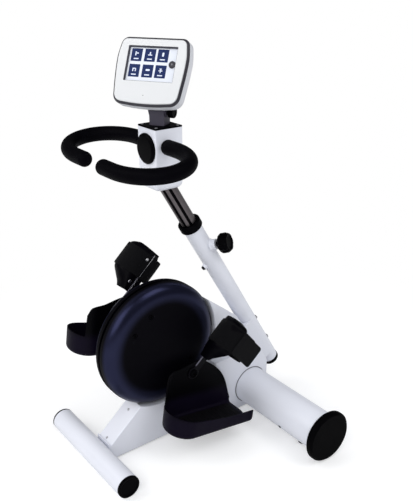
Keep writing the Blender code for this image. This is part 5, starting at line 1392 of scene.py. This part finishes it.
def makeCase():
    face, inset, band, wall = (console[key] for key in ("reach", "faceInset", "bandDepth", "wall"))
    back, panel = face - console["bezel"], face - console["panelDepth"]
    # white front plate, its edge rolled over into the dark band
    plate = skin(stack([(inset + 0.0030, face - 0.0048), (inset + 0.0004, face - 0.0046),
                        (inset, face - 0.0034), (inset + 0.0001, face - 0.0018),
                        (inset + 0.0006, face - 0.0008), (inset + 0.0016, face - 0.0002),
                        (inset + 0.0030, face)]))
    opening = slab(rectangle(console["panelWidth"], console["panelHeight"], 0, 0, 0.0022), panel - 0.01,
                   face + 0.01)
    ledPlace = at(console["shift"] + console["led"][0], console["rise"] + console["led"][1], 0)
    plate = carved(plate, opening, moved(pin(0.0011, face - 0.0012, face + 0.01, 0, 24), ledPlace))
    piece("consoleFace", plate, "console", "console", faceFrame, ["console_bezel"], 40)
    lamp = moved(pin(0.0010, face - 0.0036, face - 0.0003, 0.0004, 24), ledPlace)
    piece("consoleLed", lamp, "gasket", "console", faceFrame)

    # dark band that slopes out from the face to the case's full size
    ring = looped(stack([(inset + 0.0034, face - 0.0052), (inset + 0.0003, face - 0.0050),
                         (inset + 0.0002, face - 0.0034), (inset - 0.0004, face - 0.0022),
                         (inset - 0.0014, face - 0.0019), (0.0022, face - 0.0043),
                         (0.0006, face - band + 0.0006), (0.0, face - band - 0.0006),
                         (0.0004, face - band - 0.0014),
                         (0.0035, face - band - 0.0016)]))
    piece("consoleBand", ring, "gasket", "console", faceFrame)

    # pale case behind the band, in two halves with a fine parting line
    start = face - band - 0.0019
    ring = looped(stack([(wall, start), (0.0009, start), (0.0002, start - 0.0006), (0, start - 0.0015),
                         (0, back - 0.0006), (0.0007, back - 0.0010), (wall, back - 0.0010)]))
    piece("caseFront", ring, "caseBack", "console", faceFrame)
    ring = looped(stack([(0.0018, back - 0.0008), (0.0016, back - 0.0016), (0.0018, back - 0.0024),
                         (0.0042, back - 0.0024), (0.0042, back - 0.0008)]))
    piece("caseGasket", ring, "gasket", "console", faceFrame, ["console_gasket"])
    front = back - console["gasket"] - 2 * airGap + 0.0012
    depth = front - (back - console["gasket"] - console["rear"] - 2 * airGap)
    rearMost = front - depth
    outer = [(wall, front), (0.0008, front), (0, front - 0.0010), (0, front - depth * 0.52)]
    for k in range(1, 9):
        angle = math.radians(90 * k / 8)
        outer.append((0.020 * (1 - math.cos(angle)) ** 1.2, front - depth * (0.52 + 0.48 * math.sin(angle))))
    inner = [(0.020, rearMost + wall), (0.010, front - depth * 0.84), (wall, front - depth * 0.5)]
    case = carved(closedCase(stack(outer), stack(inner)), *ventSlots(rearMost))
    piece("caseBack", case, "caseBack", "console", faceFrame, ["console_rear_shell"], 40)


def closedCase(rings, insides):
    # outer rings to the flat back, then the inner ones back to the rim
    work = bmesh.new()
    rows, inner = [[[work.verts.new(point) for point in ring] for ring in part] for part in (rings, insides)]
    chain = [inner[-1]] + rows
    for first, second in list(zip(chain, chain[1:])) + list(zip(inner, inner[1:])):
        count = len(first)
        for i in range(count):
            j = (i + 1) % count
            work.faces.new((first[i], first[j], second[j], second[i]))
    work.faces.new(rows[-1])
    work.faces.new(inner[0])
    return shaped(work)


def ventSlots(rearMost):
    low, high = rearMost - 0.01, rearMost + console["wall"] + 0.004
    return [slab(rectangle(0.030, 0.0022, side * 0.052, 0.030 - 0.006 * k, 0.001), low, high)
            for side in (-1, 1) for k in range(6)]


display = {"columns": (-0.0420, -0.0065, 0.0275), "rows": (0.0215, -0.0170), "tile": (0.0285, 0.0310),
           "caption": (0.0130, 0.0026, 0, -0.0095, 0.0008),
           # the figure on each tile, as bars of (width, height, x, z, rounding)
           "figures": (((0.0030, 0.0100, -0.0025, 0.003, 0.001), (0.0080, 0.0026, 0.0010, 0.004, 0.001)),
                       ((0.0110, 0.0022, 0, 0.0005, 0.0008), (0.0030, 0.0070, 0, 0.0045, 0.001)),
                       ((0.0050, 0.0095, 0.0, 0.003, 0.002),),
                       ((0.0026, 0.0080, -0.0034, 0.002, 0.001), (0.0026, 0.0080, 0.0034, 0.002, 0.001),
                        (0.0060, 0.0024, 0, 0.005, 0.001)),
                       ((0.0110, 0.0044, 0.0005, 0.0025, 0.0018),),
                       ((0.0024, 0.0100, 0, 0.002, 0.001), (0.0100, 0.0024, 0, 0.002, 0.001),
                        (0.0060, 0.0022, 0, 0.0065, 0.001)))}


def makeScreen():
    face = console["reach"]
    panel = face - console["panelDepth"]
    width, height, radius = console["panelWidth"], console["panelHeight"], console["buttonRadius"]
    # dark liner round the opening; its broader strip at the left and top is a painted shadow of the recess edge
    opening = rectangle(width - 0.0003, height - 0.0003, 0, 0, 0.0022)
    # painted shadow: the inner edge is shifted right and down, so the dark frame is wider at the left and top
    inner = rectangle(width - 0.0046, height - 0.0044, 0.0017, -0.0015, 0.0012)
    deep, high = panel - 0.0012, face - 0.0004
    liner = looped([[(x, z, lift) for x, z in loop]
                    for loop, lift in ((opening, deep), (opening, high), (inner, high), (inner, deep))])
    piece("displayShadowLiner", liner, "frameDark", "console", faceFrame)
    button = at(console["shift"] + console["buttonX"], console["rise"] + console["buttonZ"], 0)
    field = carved(slab(inner, panel - 0.0022, panel - 0.0006),
                   moved(pin(radius + airGap, panel - 0.01, panel + 0.01, 0, 48), button))
    piece("displayField", field, "panel", "console", faceFrame, ["touch_screen"])
    glass = panel - 0.00055
    tiles, marks = [], []
    spots = [(x, z) for z in display["rows"] for x in display["columns"]]
    for (x, z), figure in zip(spots, display["figures"]):
        tiles.append(slab(rectangle(*display["tile"], x, z, 0.0012), glass, glass + 0.0003))
        marks += [slab(rectangle(wide, tall, x + dx, z + dz, corner), glass + 0.00032, glass + 0.00032 + 0.0002)
                  for wide, tall, dx, dz, corner in (display["caption"], *figure)]
    piece("displayTiles", gathered(*tiles), "tile", "console", faceFrame)
    piece("displayGlyphs", gathered(*marks), "glyph", "console", faceFrame)

    # home button with a dished face and a pale dot
    top = panel + 2 * console["travel"]
    under = panel - console["screenThick"] - console["wall"]
    ledge, foot = radius + 0.0015, under - 0.002
    knob = lathed([(0, top - 0.0007), (radius * 0.50, top - 0.0007, 0.0008), (radius * 0.62, top, 0.0006),
                   (radius - 0.0012, top, 0.0006), (radius, top - 0.0012, 0.0008),
                   (radius, under - airGap, 0.0001), (ledge, under - airGap, 0.0002), (ledge, foot, 0.0002),
                   (0, foot)], 72)
    piece("homeKnob", knob, "gasket", "button", faceFrame @ button, ["home_button"])
    spot, low, high = radius * 0.30, top - 0.00065, top - 0.0003
    dot = lathed([(0, high), (spot, high, 0.0001), (spot, low), (0, low)], 48)
    piece("homeDot", dot, "seam", "button", faceFrame @ button)


def makeNeck():
    half, wide, bolt = console["neckDepth"] / 2, console["neckWidth"] / 2, console["boltRadius"]
    loop = softened([(-half, airGap), (half, airGap)] + bow((0, neckRise), half, 0, 180, 28),
                    [0.001, 0.001] + [0] * 29)
    body = moved(slab(loop, -wide, wide, 0.0018), sideView)
    pivot = at(0, 0, neckRise) @ outwards(1)
    body = carved(body, moved(pin(bolt + airGap, -0.05, 0.05, 0, 40), pivot))
    body = gathered(body, pin(0.010, -0.022, 0.004, 0.0008, 48))
    piece("consoleNeck", body, "grey", "neck", swivelFrame, ["console_neck"])
    outside = wide + 0.0004 + 0.003
    low, radius, start, end = console["knobReach"], console["knobRadius"], outside + 0.001, -outside - 0.001
    high = low + console["knobDepth"]
    profile = softened([(0, high - 0.001), (radius * 0.55, high - 0.001), (radius * 0.7, high),
                        (radius - 0.001, high), (radius, high - 0.002), (radius, low + 0.001),
                        (radius - 0.001, low), (0.007, low), (0.007, start), (bolt, start), (bolt, end),
                        (0, end)],
                       [0, 0.001, 0.0008, 0.0008, 0.001, 0.0008, 0.0006, 0.001, 0.0004, 0.0001, 0.0003, 0],
                       closed=False)
    knob = fluted(profile, 96, console["flutes"], 1, lambda r, z: 0.0007 if r > radius * 0.9 else 0)
    piece("tiltKnob", knob, "black", "tilt_lock",
          swivelFrame @ at(0, 0, neckRise) @ outwards(1), ["tilt_knob"])


makeCase()
makeScreen()
makeNeck()
print("console made")


# CAD nodes that show as they are, each with its finish
carried = {"white": ["base_beam", "column_saddle"], "grey": ["tilt_bracket"], "steel": ["wheel_axle_right",
           "wheel_axle_left", "crank_shaft", "crank_bearing", "saddle_bolt_lower", "saddle_bolt_upper",
           "crank_arm_right", "crank_arm_left"], "darkSteel": ["web_plate"], "inner": ["bearing_housing",
           "drive_pulley", "motor_pulley"], "black": ["drive_motor"], "belt": ["drive_belt"],
           "board": ["control_board"], "inlet": ["power_inlet"]}
for finish, nodes in carried.items():
    for node in nodes:
        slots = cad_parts[node].data.materials
        for i in range(len(slots)):
            slots[i] = finishes[finish].material
print("carried nodes finished")
